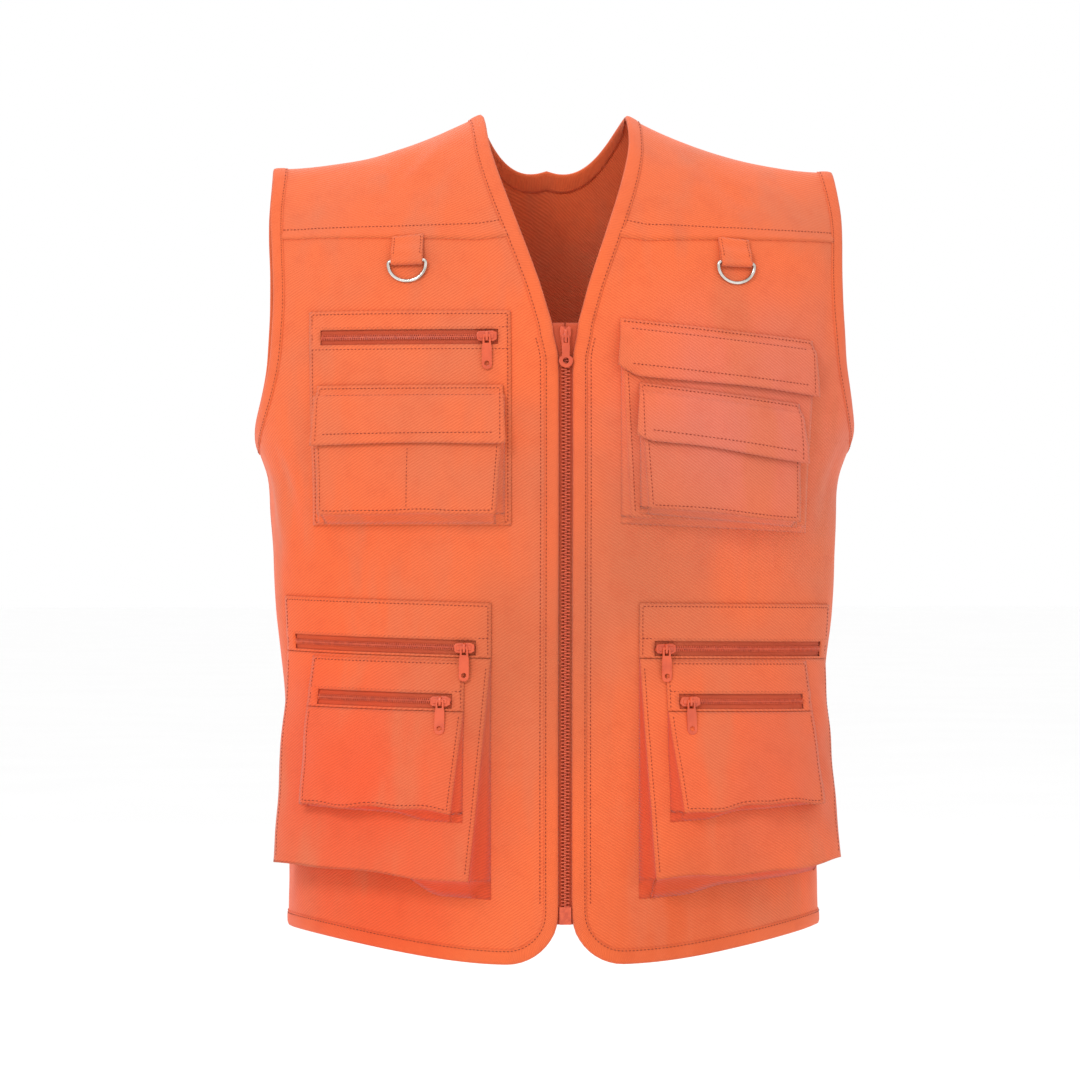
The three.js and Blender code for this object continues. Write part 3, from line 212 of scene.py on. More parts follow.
def level_of(drop):
    below = 1 + (drop - ARMHOLE_DEPTH) / (LENGTH - ARMHOLE_DEPTH)
    return np.where(drop < ARMHOLE_DEPTH, drop / ARMHOLE_DEPTH, below)


# The shell as a surface

def shoulder_fall(x):
    share = np.minimum(1, (x - NECK_HALF) / (HALF_WIDTH - NECK_HALF))
    return np.where(share < 0, 2 * SHOULDER_DROP * share, SHOULDER_DROP * (1 - (1 - share) ** 2))


def section_point(angle, drop):
    """Points of the shell's inner face, by the angle round it from the zip to the back centre."""
    angle, drop = np.broadcast_arrays(np.asarray(angle, float), np.asarray(drop, float))
    level = level_of(drop)
    power = 2 / ROUNDNESS
    cosine = np.cos(angle)
    sine = np.maximum(0, np.sin(angle))
    x = HALF_WIDTH * read_table(SECTIONS, "level", "width", level) * sine**power
    front = -FRONT_DEPTH * read_table(SECTIONS, "level", "front", level)
    back = BACK_DEPTH * read_table(SECTIONS, "level", "back", level)
    left = np.clip(1 - drop / SHOULDER_ROLL, 0, 1)
    roll = np.sqrt(np.maximum(0, 1 - left**2))
    y = np.where(cosine > 0, front, back) * roll * np.abs(cosine) ** power
    z = -drop - shoulder_fall(x) * (1 - smooth(drop / SHOULDER_FADE))
    return np.stack([x, y, z], axis=-1)


def arc_table(drops):
    angles = np.linspace(0, math.pi, ARC_STEPS + 1)
    points = section_point(angles[None, :], drops[:, None])
    steps = np.linalg.norm(np.diff(points, axis=1), axis=2)
    return np.concatenate([np.zeros((len(drops), 1)), np.cumsum(steps, axis=1)], axis=1)


def by_drop(values, drops, work):
    """Run work(arc table, values) for places that share a drop, a few thousand drops at a time."""
    values, drops = np.broadcast_arrays(np.asarray(values, float), np.asarray(drops, float))
    keys, inverse = np.unique(np.round(drops.ravel(), 2), return_inverse=True)
    out = np.empty(drops.size)
    flat = values.ravel()
    for start in range(0, len(keys), DROPS_AT_ONCE):
        part = np.nonzero((inverse >= start) & (inverse < start + DROPS_AT_ONCE))[0]
        if len(part):
            arcs = arc_table(keys[start:start + DROPS_AT_ONCE])
            out[part] = work(arcs[inverse[part] - start], flat[part])
    return out.reshape(drops.shape)


def angle_at(around, drop):
    def work(arcs, value):
        i = np.clip((arcs[:, 1:] < value[:, None]).sum(axis=1), 0, ARC_STEPS - 1)
        rows = np.arange(len(value))
        low = arcs[rows, i]
        high = arcs[rows, i + 1]
        return math.pi * (i + (value - low) / (high - low)) / ARC_STEPS
    return by_drop(around, drop, work)


def around_at(angle, drop):
    def work(arcs, value):
        step = value / math.pi * ARC_STEPS
        i = np.minimum(ARC_STEPS - 1, np.floor(step)).astype(int)
        rows = np.arange(len(value))
        return arcs[rows, i] + (arcs[rows, i + 1] - arcs[rows, i]) * (step - i)
    return by_drop(angle, drop, work)


def side_seam(drop):
    return around_at(math.pi / 2, drop)


def back_centre(drop):
    return around_at(math.pi, drop)


def fold_height(around, drop):
    across = around / side_seam(drop)
    level = level_of(drop)
    height = np.zeros(np.shape(across))
    for fold in FOLDS:
        a = (across - fold["across"]) / fold["spread"]
        b = (level - fold["level"]) / fold["rise"]
        height += fold["height"] * np.exp(-(a * a + b * b))
    return height


def crease_height(side, around, drop):
    height = np.zeros(np.shape(around))
    for crease in CREASES:
        if crease["side"] not in (0, side):
            continue
        turn = math.radians(crease["turn"])
        dx = around - crease["around"]
        dy = drop - crease["drop"]
        along = (dy * math.cos(turn) + dx * math.sin(turn)) / crease["length"]
        across = (dx * math.cos(turn) - dy * math.sin(turn)) / crease["width"]
        height += crease["height"] * np.exp(-(along**2 + across**2))
    return height


def waves(points, seed, size, amplitude):
    """A soft, seeded unevenness of points in space. Size is its usual wavelength."""
    rng = np.random.default_rng(seed)
    count = 7
    height = np.zeros(points.shape[:-1])
    for _ in range(count):
        direction = rng.normal(size=3)
        direction /= np.linalg.norm(direction)
        wavelength = size * rng.uniform(0.6, 1.6)
        phase = rng.uniform(0, 2 * math.pi)
        height += np.sin(points @ direction * (2 * math.pi / wavelength) + phase)
    return height * amplitude / math.sqrt(count)


def slopes_at(angle, drop):
    """Small steps on the shell's inner face, across it and down it."""
    middle = np.clip(angle, TURN_STEP, math.pi - TURN_STEP)
    across = section_point(middle + TURN_STEP, drop) - section_point(middle - TURN_STEP, drop)
    above = np.maximum(0, drop - DROP_STEP)
    return across, section_point(middle, drop + DROP_STEP) - section_point(middle, above)


def surface_point(side, around, drop, height):
    """Points of a layer over the shell, with all the folds that the layers share."""
    around, drop, height = np.broadcast_arrays(
        np.asarray(around, float), np.asarray(drop, float), np.asarray(height, float)
    )
    mirror = np.array([side, 1, 1])
    angle = angle_at(around, drop)
    across, down = slopes_at(angle, drop)
    base = section_point(angle, drop)
    lift = height + fold_height(around, drop) + crease_height(side, around, drop)
    for seed, size, amplitude in UNEVEN:
        lift = lift + waves(base * mirror, seed, size, amplitude)
    return (base + unit(np.cross(down, across)) * lift[..., None]) * mirror


# Edges of the panels

def front_edge(drop):
    drop = np.asarray(drop, float)
    neck = SLOT_HALF + (NECK_HALF - SLOT_HALF) * read_table(V_EDGE, "drop", "half", drop / V_DEPTH)
    last = V_EDGE[-1]["half"] * (NECK_HALF - SLOT_HALF)
    return np.where(drop < V_DEPTH, neck, SLOT_HALF + last * (1 - smooth((drop - V_DEPTH) / SLOT_FADE)))


def armhole_angle(drop):
    turn = read_table(ARMHOLE_EDGE, "level", "turn", level_of(drop))
    return np.minimum(1, turn) * math.pi / 2


def front_outer_edge(drop):
    seam = side_seam(drop)
    return np.where(drop < ARMHOLE_DEPTH, np.minimum(around_at(armhole_angle(drop), drop), seam), seam)


def back_outer_edge(drop):
    seam = side_seam(drop)
    edge = around_at(math.pi - armhole_angle(drop), drop)
    return np.where(drop < ARMHOLE_DEPTH, np.maximum(edge, seam), seam)


def hem_drop(around):
    side = float(side_seam(LENGTH))
    rise = smooth((around - 0.15 * side) / (0.75 * side))
    inset = np.clip(around - SLOT_HALF, 0, HEM_CORNER)
    corner = HEM_CORNER - np.sqrt(HEM_CORNER**2 - (HEM_CORNER - inset) ** 2)
    return LENGTH - HEM_LIFT * rise - corner


def yoke_seam(around):
    """The drop at which the cloth passes the yoke's level, found by halving."""
    around = np.asarray(around, float)
    low = np.zeros(around.shape)
    high = np.full(around.shape, float(YOKE_LEVEL))
    for _ in range(18):
        middle = (low + high) / 2
        above = -section_point(angle_at(around, middle), middle)[..., 2] < YOKE_LEVEL
        low = np.where(above, middle, low)
        high = np.where(above, high, middle)
    return (low + high) / 2


# Materials

def new_material(name):
    material = bpy.data.materials.new(name)
    material.use_nodes = True
    tree = material.node_tree
    return material, tree, tree.nodes["Principled BSDF"]


def object_place(tree):
    return tree.nodes.new("ShaderNodeTexCoord").outputs["Object"]


def set_inputs(node, **values):
    """Set inputs of a node by their names, with underscores for the spaces."""
    for key, value in values.items():
        node.inputs[key.replace("_", " ")].default_value = value


def noise(tree, place, scale, detail, roughness=0.5):
    node = tree.nodes.new("ShaderNodeTexNoise")
    set_inputs(node, Scale=scale, Detail=detail, Roughness=roughness)
    tree.links.new(place, node.inputs["Vector"])
    return node.outputs["Fac"]


def mix_colour(tree, share, first, second):
    mix = tree.nodes.new("ShaderNodeMix")
    mix.data_type = "RGBA"
    tree.links.new(share, mix.inputs[0])
    for socket, value in ((mix.inputs[6], first), (mix.inputs[7], second)):
        if isinstance(value, tuple):
            socket.default_value = (*value, 1)
        else:
            tree.links.new(value, socket)
    return mix.outputs[2]


def ramp(tree, value, low, high):
    node = tree.nodes.new("ShaderNodeMapRange")
    node.interpolation_type = "SMOOTHSTEP"
    tree.links.new(value, node.inputs["Value"])
    set_inputs(node, From_Min=low, From_Max=high)
    return node.outputs["Result"]


def maths(tree, operation, first, second):
    node = tree.nodes.new("ShaderNodeMath")
    node.operation = operation
    for socket, value in zip(node.inputs, (first, second)):
        if isinstance(value, (int, float)):
            socket.default_value = value
        else:
            tree.links.new(value, socket)
    return node.outputs[0]


def twill_lines(tree, pitch, degrees):
    """Fine diagonal ribs in cloth coordinates, from 0 to 1."""
    uv = tree.nodes.new("ShaderNodeUVMap")
    uv.uv_map = "cloth"
    mapping = tree.nodes.new("ShaderNodeMapping")
    set_inputs(mapping, Rotation=(0, 0, math.radians(degrees)))
    tree.links.new(uv.outputs["UV"], mapping.inputs["Vector"])
    wave = tree.nodes.new("ShaderNodeTexWave")
    set_inputs(wave, Scale=math.pi / 10 / pitch, Distortion=1.2, Detail=2, Detail_Scale=1.6)
    tree.links.new(mapping.outputs["Vector"], wave.inputs["Vector"])
    return wave.outputs["Fac"]


# The twill's ribs, in degrees and metres, how much its streaks are drawn out upwards, and how far its
# areas of painted light, shade and tone fade out, in metres
RIB_PITCH = 0.0021
RIB_DEGREES = 58
RIB_RELIEF = 0.0004
STREAK_SQUEEZE = 0.22
TONE_FADE = 0.075
TONE_CORE = 0.03
TONE_RAGGED = 0.09

# Soft areas of painted light and shade, mixed with uneven tone of the cloth: centre and radius in metres,
# seen from the front
LIGHT_AND_TONE_AREAS = table(
    "x z radius colour amount",
    (0.14, -0.25, 0.13, (0.58, 0.16, 0.115), 0.8),
    (-0.215, -0.36, 0.12, (0.72, 0.11, 0.028), 0.8),
    (-0.17, -0.53, 0.145, (0.74, 0.064, 0.014), 0.72),
    (0.16, -0.53, 0.12, (0.66, 0.1, 0.038), 0.7),
    (-0.12, -0.05, 0.1, (0.7, 0.12, 0.03), 0.7),
    (0.13, -0.06, 0.09, (0.7, 0.125, 0.033), 0.7),
    (-0.04, -0.45, 0.11, (0.48, 0.122, 0.052), 0.8),
    (0.05, -0.36, 0.1, (0.49, 0.126, 0.056), 0.8),
    (-0.15, -0.65, 0.08, (0.7, 0.066, 0.014), 0.65),
    (0.08, -0.65, 0.08, (0.53, 0.085, 0.022), 0.7),
)


# Mixes in the soft areas: painted light and shade, together with the cloth's uneven tone
def light_and_tone_areas(tree, place, streaks, colour):
    flat = tree.nodes.new("ShaderNodeVectorMath")
    flat.operation = "MULTIPLY"
    flat.inputs[1].default_value = (1, 0, 1)
    tree.links.new(place, flat.inputs[0])
    for tone in LIGHT_AND_TONE_AREAS:
        away = tree.nodes.new("ShaderNodeVectorMath")
        away.operation = "DISTANCE"
        away.inputs[1].default_value = (tone["x"], 0, tone["z"])
        tree.links.new(flat.outputs["Vector"], away.inputs[0])
        reach = maths(tree, "ADD", away.outputs["Value"], maths(tree, "MULTIPLY", streaks, TONE_RAGGED))
        inside = ramp(tree, reach, tone["radius"] + TONE_FADE, TONE_CORE)
        colour = mix_colour(tree, maths(tree, "MULTIPLY", inside, tone["amount"]), colour, tone["colour"])
    return colour


def fabric(name, main, shade, pale, pitch=RIB_PITCH):
    """Woven cloth with diagonal ribs, soft areas of painted light and shade with uneven tone, and faded
    upright streaks.
    """
    material, tree, shader = new_material(name)
    place = object_place(tree)
    broad = noise(tree, place, 5.5, 3.0, 0.55)
    fine = noise(tree, place, 60.0, 4.0, 0.6)
    ribs = twill_lines(tree, pitch, RIB_DEGREES)
    upright = tree.nodes.new("ShaderNodeMapping")
    set_inputs(upright, Scale=(1, 1, STREAK_SQUEEZE))
    tree.links.new(place, upright.inputs["Vector"])
    streaks = noise(tree, upright.outputs["Vector"], 24.0, 3.0)
    colour = mix_colour(tree, ramp(tree, broad, 0.38, 0.66), main, pale)
    # Painted light and shade in soft areas, mixed with uneven tone
    colour = light_and_tone_areas(tree, place, streaks, colour)
    faded = maths(tree, "MULTIPLY", ramp(tree, streaks, 0.5, 0.68), 0.55)
    colour = mix_colour(tree, faded, colour, pale)
    grain = maths(tree, "MULTIPLY", ramp(tree, fine, 0.45, 0.75), 0.14)
    colour = mix_colour(tree, grain, colour, shade)
    lines = maths(tree, "MULTIPLY", ribs, 0.34)
    colour = mix_colour(tree, lines, colour, shade)
    tree.links.new(colour, shader.inputs["Base Color"])
    set_inputs(shader, Roughness=0.86, Sheen_Weight=0.12, Sheen_Roughness=0.5, Specular_IOR_Level=0.25)
    relief = maths(tree, "ADD", ribs, maths(tree, "MULTIPLY", fine, 0.8))
    bump = tree.nodes.new("ShaderNodeBump")
    set_inputs(bump, Strength=0.5, Distance=RIB_RELIEF)
    tree.links.new(relief, bump.inputs["Height"])
    tree.links.new(bump.outputs["Normal"], shader.inputs["Normal"])
    return material


def plain(name, main, shade, roughness, metallic=0.0, scale=300.0):
    """A hard or smooth material with a faint mottle between two tones."""
    material, tree, shader = new_material(name)
    mottle = noise(tree, object_place(tree), scale, 2.0)
    colour = mix_colour(tree, ramp(tree, mottle, 0.35, 0.7), main, shade)
    tree.links.new(colour, shader.inputs["Base Color"])
    set_inputs(shader, Roughness=roughness, Metallic=metallic)
    return material


ORANGE = (0.74, 0.134, 0.039)
DEEP = (0.44, 0.045, 0.011)
DUSTY = (0.58, 0.142, 0.062)
TWILL = fabric("vest_twill", ORANGE, DEEP, DUSTY)
TRIM = fabric("binding_cloth", (0.74, 0.132, 0.036), DEEP, (0.66, 0.13, 0.045), 0.0012)
TAPE_CLOTH = fabric("zip_tape_cloth", (0.5, 0.075, 0.026), (0.38, 0.04, 0.014), (0.47, 0.08, 0.034), 0.001)
# Painted shade: the gussets are the vest's own twill, darker and redder here where they fold inwards
GUSSET_SHADE = fabric("gusset_painted_shade", (0.58, 0.058, 0.016), (0.42, 0.026, 0.006), (0.62, 0.08, 0.024))
THREAD = plain("sewing_thread", (0.27, 0.03, 0.01), (0.2, 0.02, 0.008), 0.8)
ZIP = plain("zip_plastic", (0.58, 0.08, 0.026), (0.46, 0.055, 0.018), 0.42)
PULL = plain("puller_enamel", (0.6, 0.08, 0.024), (0.5, 0.06, 0.018), 0.35, scale=90.0)
NICKEL = plain("ring_nickel", (0.62, 0.6, 0.56), (0.42, 0.39, 0.35), 0.24, 1.0, 120.0)


# Meshes

def add_object(name, data):
    item = bpy.data.objects.new(name, data)
    bpy.context.scene.collection.objects.link(item)
    return item


def make_object(name, points, faces, material, uvs=None, is_smooth=True):
    mesh = bpy.data.meshes.new(name)
    mesh.from_pydata((np.asarray(points) * MM).tolist(), [], faces)
    if uvs is not None:
        layer = mesh.uv_layers.new(name="cloth")
        corners = np.empty(len(mesh.loops), dtype=np.int32)
        mesh.loops.foreach_get("vertex_index", corners)
        layer.data.foreach_set("uv", (np.asarray(uvs)[corners] * MM).ravel())
    mesh.polygons.foreach_set("use_smooth", [is_smooth] * len(mesh.polygons))
    mesh.update()
    mesh.materials.append(material)
    return add_object(name, mesh)


def settle(piece, nodes, body=BODY):
    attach(piece, body)
    if nodes:
        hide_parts(*nodes)


def grid_normals(points):
    down = np.gradient(points, axis=0)
    across = np.gradient(points, axis=1)
    normal = np.cross(down, across)
    normal /= np.maximum(np.linalg.norm(normal, axis=-1, keepdims=True), 1e-9)
    middle = points[..., :2].mean(axis=(0, 1))
    outwards = middle @ normal[..., :2].mean(axis=(0, 1))
    return normal if outwards > 0 else -normal


def closed_sheet(points, thickness, kept):
    """A closed sheet from the kept cells of a grid of outer points. Returns its points and faces, which
    of the outer and inner grid points it uses, and how many of its faces are walls at its edges."""
    rows, cols = points.shape[:2]
    normal = grid_normals(points)
    inner = points - normal * thickness
    count = rows * cols
    index = np.arange(count).reshape(rows, cols)
    corners = np.stack([index[:-1, :-1], index[1:, :-1], index[1:, 1:], index[:-1, 1:]], axis=-1)
    first = np.cross(points[1, 0] - points[0, 0], points[0, 1] - points[0, 0]) @ normal[0, 0]
    if first < 0:
        corners = corners[..., ::-1]
    outer = corners[kept]
    edges = dict.fromkeys((quad[k], quad[(k + 1) % 4]) for quad in outer for k in range(4))
    walls = np.array([[q, p, p + count, q + count] for p, q in edges if (q, p) not in edges])
    faces = np.concatenate([outer, outer[:, ::-1] + count, walls])
    used = np.zeros(2 * count, bool)
    used[faces.ravel()] = True
    renumber = np.cumsum(used) - 1
    both = np.concatenate([points.reshape(-1, 3), inner.reshape(-1, 3)])[used]
    return both, renumber[faces].tolist(), used, len(walls)


def cloth(name, points, uv, thickness, material, nodes, keep=None, deep=None):
    """A closed sheet of cloth from a grid of outer points, with holes where keep is false. Uv is its pair
    of flat coordinates. The cells in the gusset mask take a darker colour: painted shade on gussets folded
    inwards."""
    kept = np.ones((points.shape[0] - 1, points.shape[1] - 1), bool) if keep is None else keep
    both, faces, used, walls = closed_sheet(points, thickness, kept)
    flat = np.stack(np.broadcast_arrays(*uv), -1)
    piece = make_object(name, both, faces, material, np.concatenate([flat.reshape(-1, 2)] * 2)[used])
    # Painted shade on the folded-in gusset cells, as a darker material
    if deep is not None:
        piece.data.materials.append(GUSSET_SHADE)
        shown = np.concatenate([deep[kept], deep[kept], np.zeros(walls, bool)])
        piece.data.polygons.foreach_set("material_index", shown.astype(np.int32))
    settle(piece, nodes)


def tube(name, rings, closed, material, nodes, flat_width, body=BODY):
    """A closed solid through rings of points, with capped ends unless the rings close up."""
    count, sides = rings.shape[:2]
    along = running(np.linalg.norm(np.diff(rings.mean(axis=1), axis=0), axis=1))
    last = count if closed else count - 1
    i = np.arange(last)[:, None] * sides
    j = (np.arange(last)[:, None] + 1) % count * sides
    k = np.arange(sides)[None, :]
    m = (k + 1) % sides
    quads = np.stack([i + k, i + m, j + m, j + k], -1).reshape(-1, 4)
    centre = rings[0].mean(axis=0)
    normal = np.cross(rings[0, 1] - rings[0, 0], rings[1, 0] - rings[0, 0])
    inwards = (rings[0, 0] - centre) @ normal < 0
    faces = (quads[:, ::-1] if inwards else quads).tolist()
    if not closed:
        ends = [list(range(sides)), list(range((count - 1) * sides, count * sides))]
        faces.append(ends[0] if inwards else ends[0][::-1])
        faces.append(ends[1][::-1] if inwards else ends[1])
    uv = np.stack(np.meshgrid(np.linspace(0, flat_width, sides), along), -1).reshape(-1, 2)
    piece = make_object(name, rings.reshape(-1, 3), faces, material, uv)
    settle(piece, nodes, body)
    return piece, float(along[-1])


# Stitching: every stitch is a short spindle of thread, and all of them make one piece

STITCH = Sizes(pitch=3.0, length=2.3, width=0.85, height=0.6)
SPINDLE = [[0, 2, 4], [0, 4, 3], [0, 3, 5], [0, 5, 2], [1, 4, 2], [1, 3, 4], [1, 5, 3], [1, 2, 5]]

stitches = []


def stitch_path(side, around, drop, height, lift=0.25):
    """Sew along a path of places. Height gives the top of the cloth at a place."""
    path = np.stack(np.broadcast_arrays(np.asarray(around, float), np.asarray(drop, float)), 1)
    along = running(np.linalg.norm(np.diff(path, axis=0), axis=1))
    count = max(1, int(along[-1] // STITCH.pitch))
    middles = (np.arange(count) + 0.5) * along[-1] / count
    half = STITCH.length / 2

    def at(distance):
        a = np.interp(distance, along, path[:, 0])
        d = np.interp(distance, along, path[:, 1])
        return surface_point(side, a, d, height(a, d) + lift)

    start = at(middles - half)
    end = at(middles + half)
    centre = at(middles)
    axis = unit(end - start)
    outwards = centre * np.array([1, 1, 0])
    outwards = unit(outwards - axis * (outwards * axis).sum(axis=1, keepdims=True))
    across = np.cross(axis, outwards) * STITCH.width / 2
    rise = outwards * STITCH.height / 2
    spindle = [start, end, centre + across, centre - across, centre + rise, centre - rise]
    stitches.append(np.stack(spindle, 1))


def sew_all():
    points = np.concatenate(stitches)
    faces = (np.array(SPINDLE)[None] + 6 * np.arange(len(points))[:, None, None]).reshape(-1, 3)
    piece = make_object("topstitching", points.reshape(-1, 3), faces.tolist(), THREAD)
    settle(piece, [])


# The panels

YOKE_OVERLAP = 5
YOKE_STITCH = 8.5
YOKE_SEAM_ENDS = (96.0, 70.0)
YOKE_SEAM_MARGIN = 10
PLACKET_STITCH = 3
PLACKET_MARGINS = (10, 46)


def cloth_top(around, drop):
    return CLOTH + 0 * around


def front_grid(top, bottom, rows, cols, power=1.0):
    """Places of a grid between two drops that depend on around, from the front edge to the outer edge."""
    share = np.linspace(0, 1, rows)[:, None] ** power
    t = np.linspace(0, 1, cols)[None, :]
    drop = 120 + (LENGTH - 160) * share + 0 * t
    for _ in range(4):
        inner = front_edge(drop)
        outer = front_outer_edge(drop)
        around = inner + (outer - inner) * t
        drop = top(around) + (bottom(around) - top(around)) * share
    return around, drop


def front_panel(side, word):
    around, drop = front_grid(yoke_seam, hem_drop, 132, 68)
    points = surface_point(side, around, drop, CLOTH)
    cloth(f"front_panel_{word}_cloth", points, (around, drop), CLOTH, TWILL, [f"front_panel_{word}"])


def front_yoke(side, word):
    def ridge(around):
        return RIDGE_DROP + 0 * around

    def seam(around):
        return yoke_seam(around) + YOKE_OVERLAP
    around, drop = front_grid(ridge, seam, 34, 50, 1.7)
    overlap = smooth((drop - yoke_seam(around) + 6) / 4)
    points = surface_point(side, around, drop, CLOTH + 0.9 * overlap)
    uv = (around, drop * 1.15 + 0.4 * around)
    cloth(f"front_yoke_{word}_cloth", points, uv, CLOTH, TWILL, [f"front_yoke_{word}"])
    near_end, far_end = YOKE_SEAM_ENDS
    near = float(front_edge(near_end)) + YOKE_SEAM_MARGIN
    far = float(front_outer_edge(np.array(far_end))) - YOKE_SEAM_MARGIN
    sewn = np.linspace(near, far, 60)
    stitch_path(side, sewn, yoke_seam(sewn) - YOKE_STITCH, cloth_top, 0.2)


def placket_stitches(side):
    drops = np.linspace(V_DEPTH + PLACKET_MARGINS[0], LENGTH - PLACKET_MARGINS[1], 120)
    stitch_path(side, front_edge(drops) + BINDING_WIDTH + PLACKET_STITCH, drops, cloth_top)


def back_neck_drop(inset):
    share = np.minimum(1, np.abs(inset) / NECK_HALF)
    return np.maximum(RIDGE_DROP, BACK_NECK_DEPTH * (1 - share**2.4))


def both_sides(inset, drop, height):
    """Points on the back by their distance from the back centre, negative on the left."""
    around = back_centre(drop) - np.abs(inset)
    left = surface_point(-1, around, drop, height)
    right = surface_point(1, around, drop, height)
    return np.where((inset < 0)[..., None], left, right)


def back_panel():
    share = np.linspace(0, 1, 140)[:, None] ** 1.5
    t = np.linspace(-1, 1, 130)[None, :]
    drop = LENGTH * share + 0 * t
    for _ in range(3):
        reach = back_centre(drop) - back_outer_edge(drop)
        inset = t * reach
        top = back_neck_drop(inset)
        drop = top + (LENGTH - HEM_LIFT - top) * share
    points = both_sides(inset, drop, CLOTH)
    cloth("back_panel_cloth", points, (inset, drop), CLOTH, TWILL, ["back_panel"])


# Bindings. A profile's steps are over the edge when positive and back along the cloth when negative.

BINDING_STITCH = 1.6
RIDGE_JUMP = 20

BINDING_PROFILE = [
    (-BINDING_WIDTH, CLOTH + 0.1),
    (-BINDING_WIDTH + 0.2, CLOTH + 0.75),
    (-BINDING_WIDTH + 1.6, CLOTH + 0.7),
    (-BINDING_WIDTH + 3.2, CLOTH + 1.05),
    (-4.5, CLOTH + 1.2),
    (-1, CLOTH + 1.1),
    (1.1, CLOTH + 0.5),
    (EDGE_REACH - 0.2, 0.4),
    (1.1, -1),
    (-1, -1.6),
    (-BINDING_WIDTH + 1.6, -1.2),
    (-BINDING_WIDTH, -0.9),
]


def binding_tube(node, on_cloth, off, closed):
    """A binding over an edge. On_cloth gives the points for a step along the cloth and a height, and
    off is the way off the cloth."""
    rings = [on_cloth(min(over, 0), height) + off * max(over, 0) for over, height in BINDING_PROFILE]
    piece, length = tube(f"{node}_cloth", np.stack(rings, 1), closed, TRIM, [node], 2 * BINDING_WIDTH)


def edge_steps(around, drop, closed):
    """For each stop of an edge: how far around and drop change for a step off the cloth, and its way."""
    angle = angle_at(around, drop)
    base = section_point(angle, drop)
    if closed:
        along = np.roll(base, -1, axis=0) - np.roll(base, 1, axis=0)
    else:
        along = np.gradient(base, axis=0)
    across, down = [unit(slope) for slope in slopes_at(angle, drop)]
    off = unit(np.cross(along, np.cross(down, across)))
    return (off * across).sum(axis=1), (off * down).sum(axis=1), off


def top_of_binding(around, drop):
    return cloth_top(around, drop) + 0.75


def binding(node, side, around, drop, closed):
    """A stitched binding along an edge of one side. Its stitches break where it crosses the ridge."""
    across, down, off = edge_steps(around, drop, closed)

    def on_cloth(step, height):
        return surface_point(side, around + across * step, np.maximum(drop + down * step, LEAST_DROP), height)
    binding_tube(node, on_cloth, off * np.array([side, 1, 1]), closed)
    inset = BINDING_WIDTH - BINDING_STITCH
    sewn_around = around - across * inset
    sewn_drop = np.maximum(drop - down * inset, LEAST_DROP)
    ridges = np.nonzero(np.abs(np.diff(sewn_around)) > RIDGE_JUMP)[0] + 1
    for part in np.split(np.arange(len(around)), ridges):
        stitch_path(side, sewn_around[part], sewn_drop[part], top_of_binding)


def front_binding(side, word):
    neck = np.arange(3, LENGTH - HEM_CORNER, 5.0)
    neck = np.concatenate([RIDGE_DROP + 3 * np.linspace(0, 1, 4)[:-1] ** 2, neck])
    sweep = np.linspace(0, math.pi / 2, 12)
    corner = SLOT_HALF + HEM_CORNER * (1 - np.cos(sweep))
    far = np.arange(SLOT_HALF + HEM_CORNER + 5, float(side_seam(LENGTH - HEM_LIFT)) - 2, 6.0)
    around = np.concatenate([front_edge(neck), corner, far])
    drop = np.concatenate([neck, hem_drop(corner), hem_drop(far)])
    binding(f"front_binding_{word}", side, around, drop, False)


def armhole_binding(side, word):
    low = ARMHOLE_DEPTH - np.array([0.0, 0.8, 1.8, 3.5, 6, 10, 15, 21, 28])
    middle = np.arange(ARMHOLE_DEPTH - 35, 12, -6.0)
    drops = np.concatenate([low, middle, [8, 4.5, 2, 0.6, RIDGE_DROP]])
    inside = np.minimum(drops, ARMHOLE_DEPTH - 0.01)
    around = np.concatenate([front_outer_edge(inside), back_outer_edge(inside)[::-1][1:-1]])
    drop = np.concatenate([drops, drops[::-1][1:-1]])
    binding(f"armhole_binding_{word}", side, around, drop, True)


def back_binding(node, insets, drops, towards):
    """A binding across the back, from the left to the right. Towards is 1 where cloth lies below."""
    base = both_sides(insets, drops, 0)
    off = unit(np.cross(np.gradient(base, axis=0), both_sides(insets, drops, 1) - base))
    off *= np.sign(off[len(insets) // 2, 2]) * towards

    def on_cloth(step, height):
        return both_sides(insets, np.maximum(drops - towards * step, LEAST_DROP), height)
    binding_tube(node, on_cloth, off, False)


def back_bindings():
    hem = LENGTH - HEM_LIFT
    reach = float(back_centre(hem) - side_seam(hem))
    insets = np.linspace(-reach, reach, 120)
    back_binding("back_hem_binding", insets, np.full(len(insets), float(hem)), -1)
    insets = NECK_HALF * np.sin(np.linspace(-math.pi / 2, math.pi / 2, 61))
    back_binding("back_neck_binding", insets, back_neck_drop(insets), 1)


# Pockets. A ground is a function of place that gives the height on which a piece lies.

BAG_CELL = 3.2
BAND_CELL = 3.4
FLAP_CELL = 2.6
FOLD_STEPS = 5
SEAM_INSET = 3
WELT = 0.6


def panel_ground(around, drop):
    return CLOTH + LAYER_GAP + 0 * around


def panel_band_face(around, drop):
    return panel_ground(around, drop) + POCKET_CLOTH


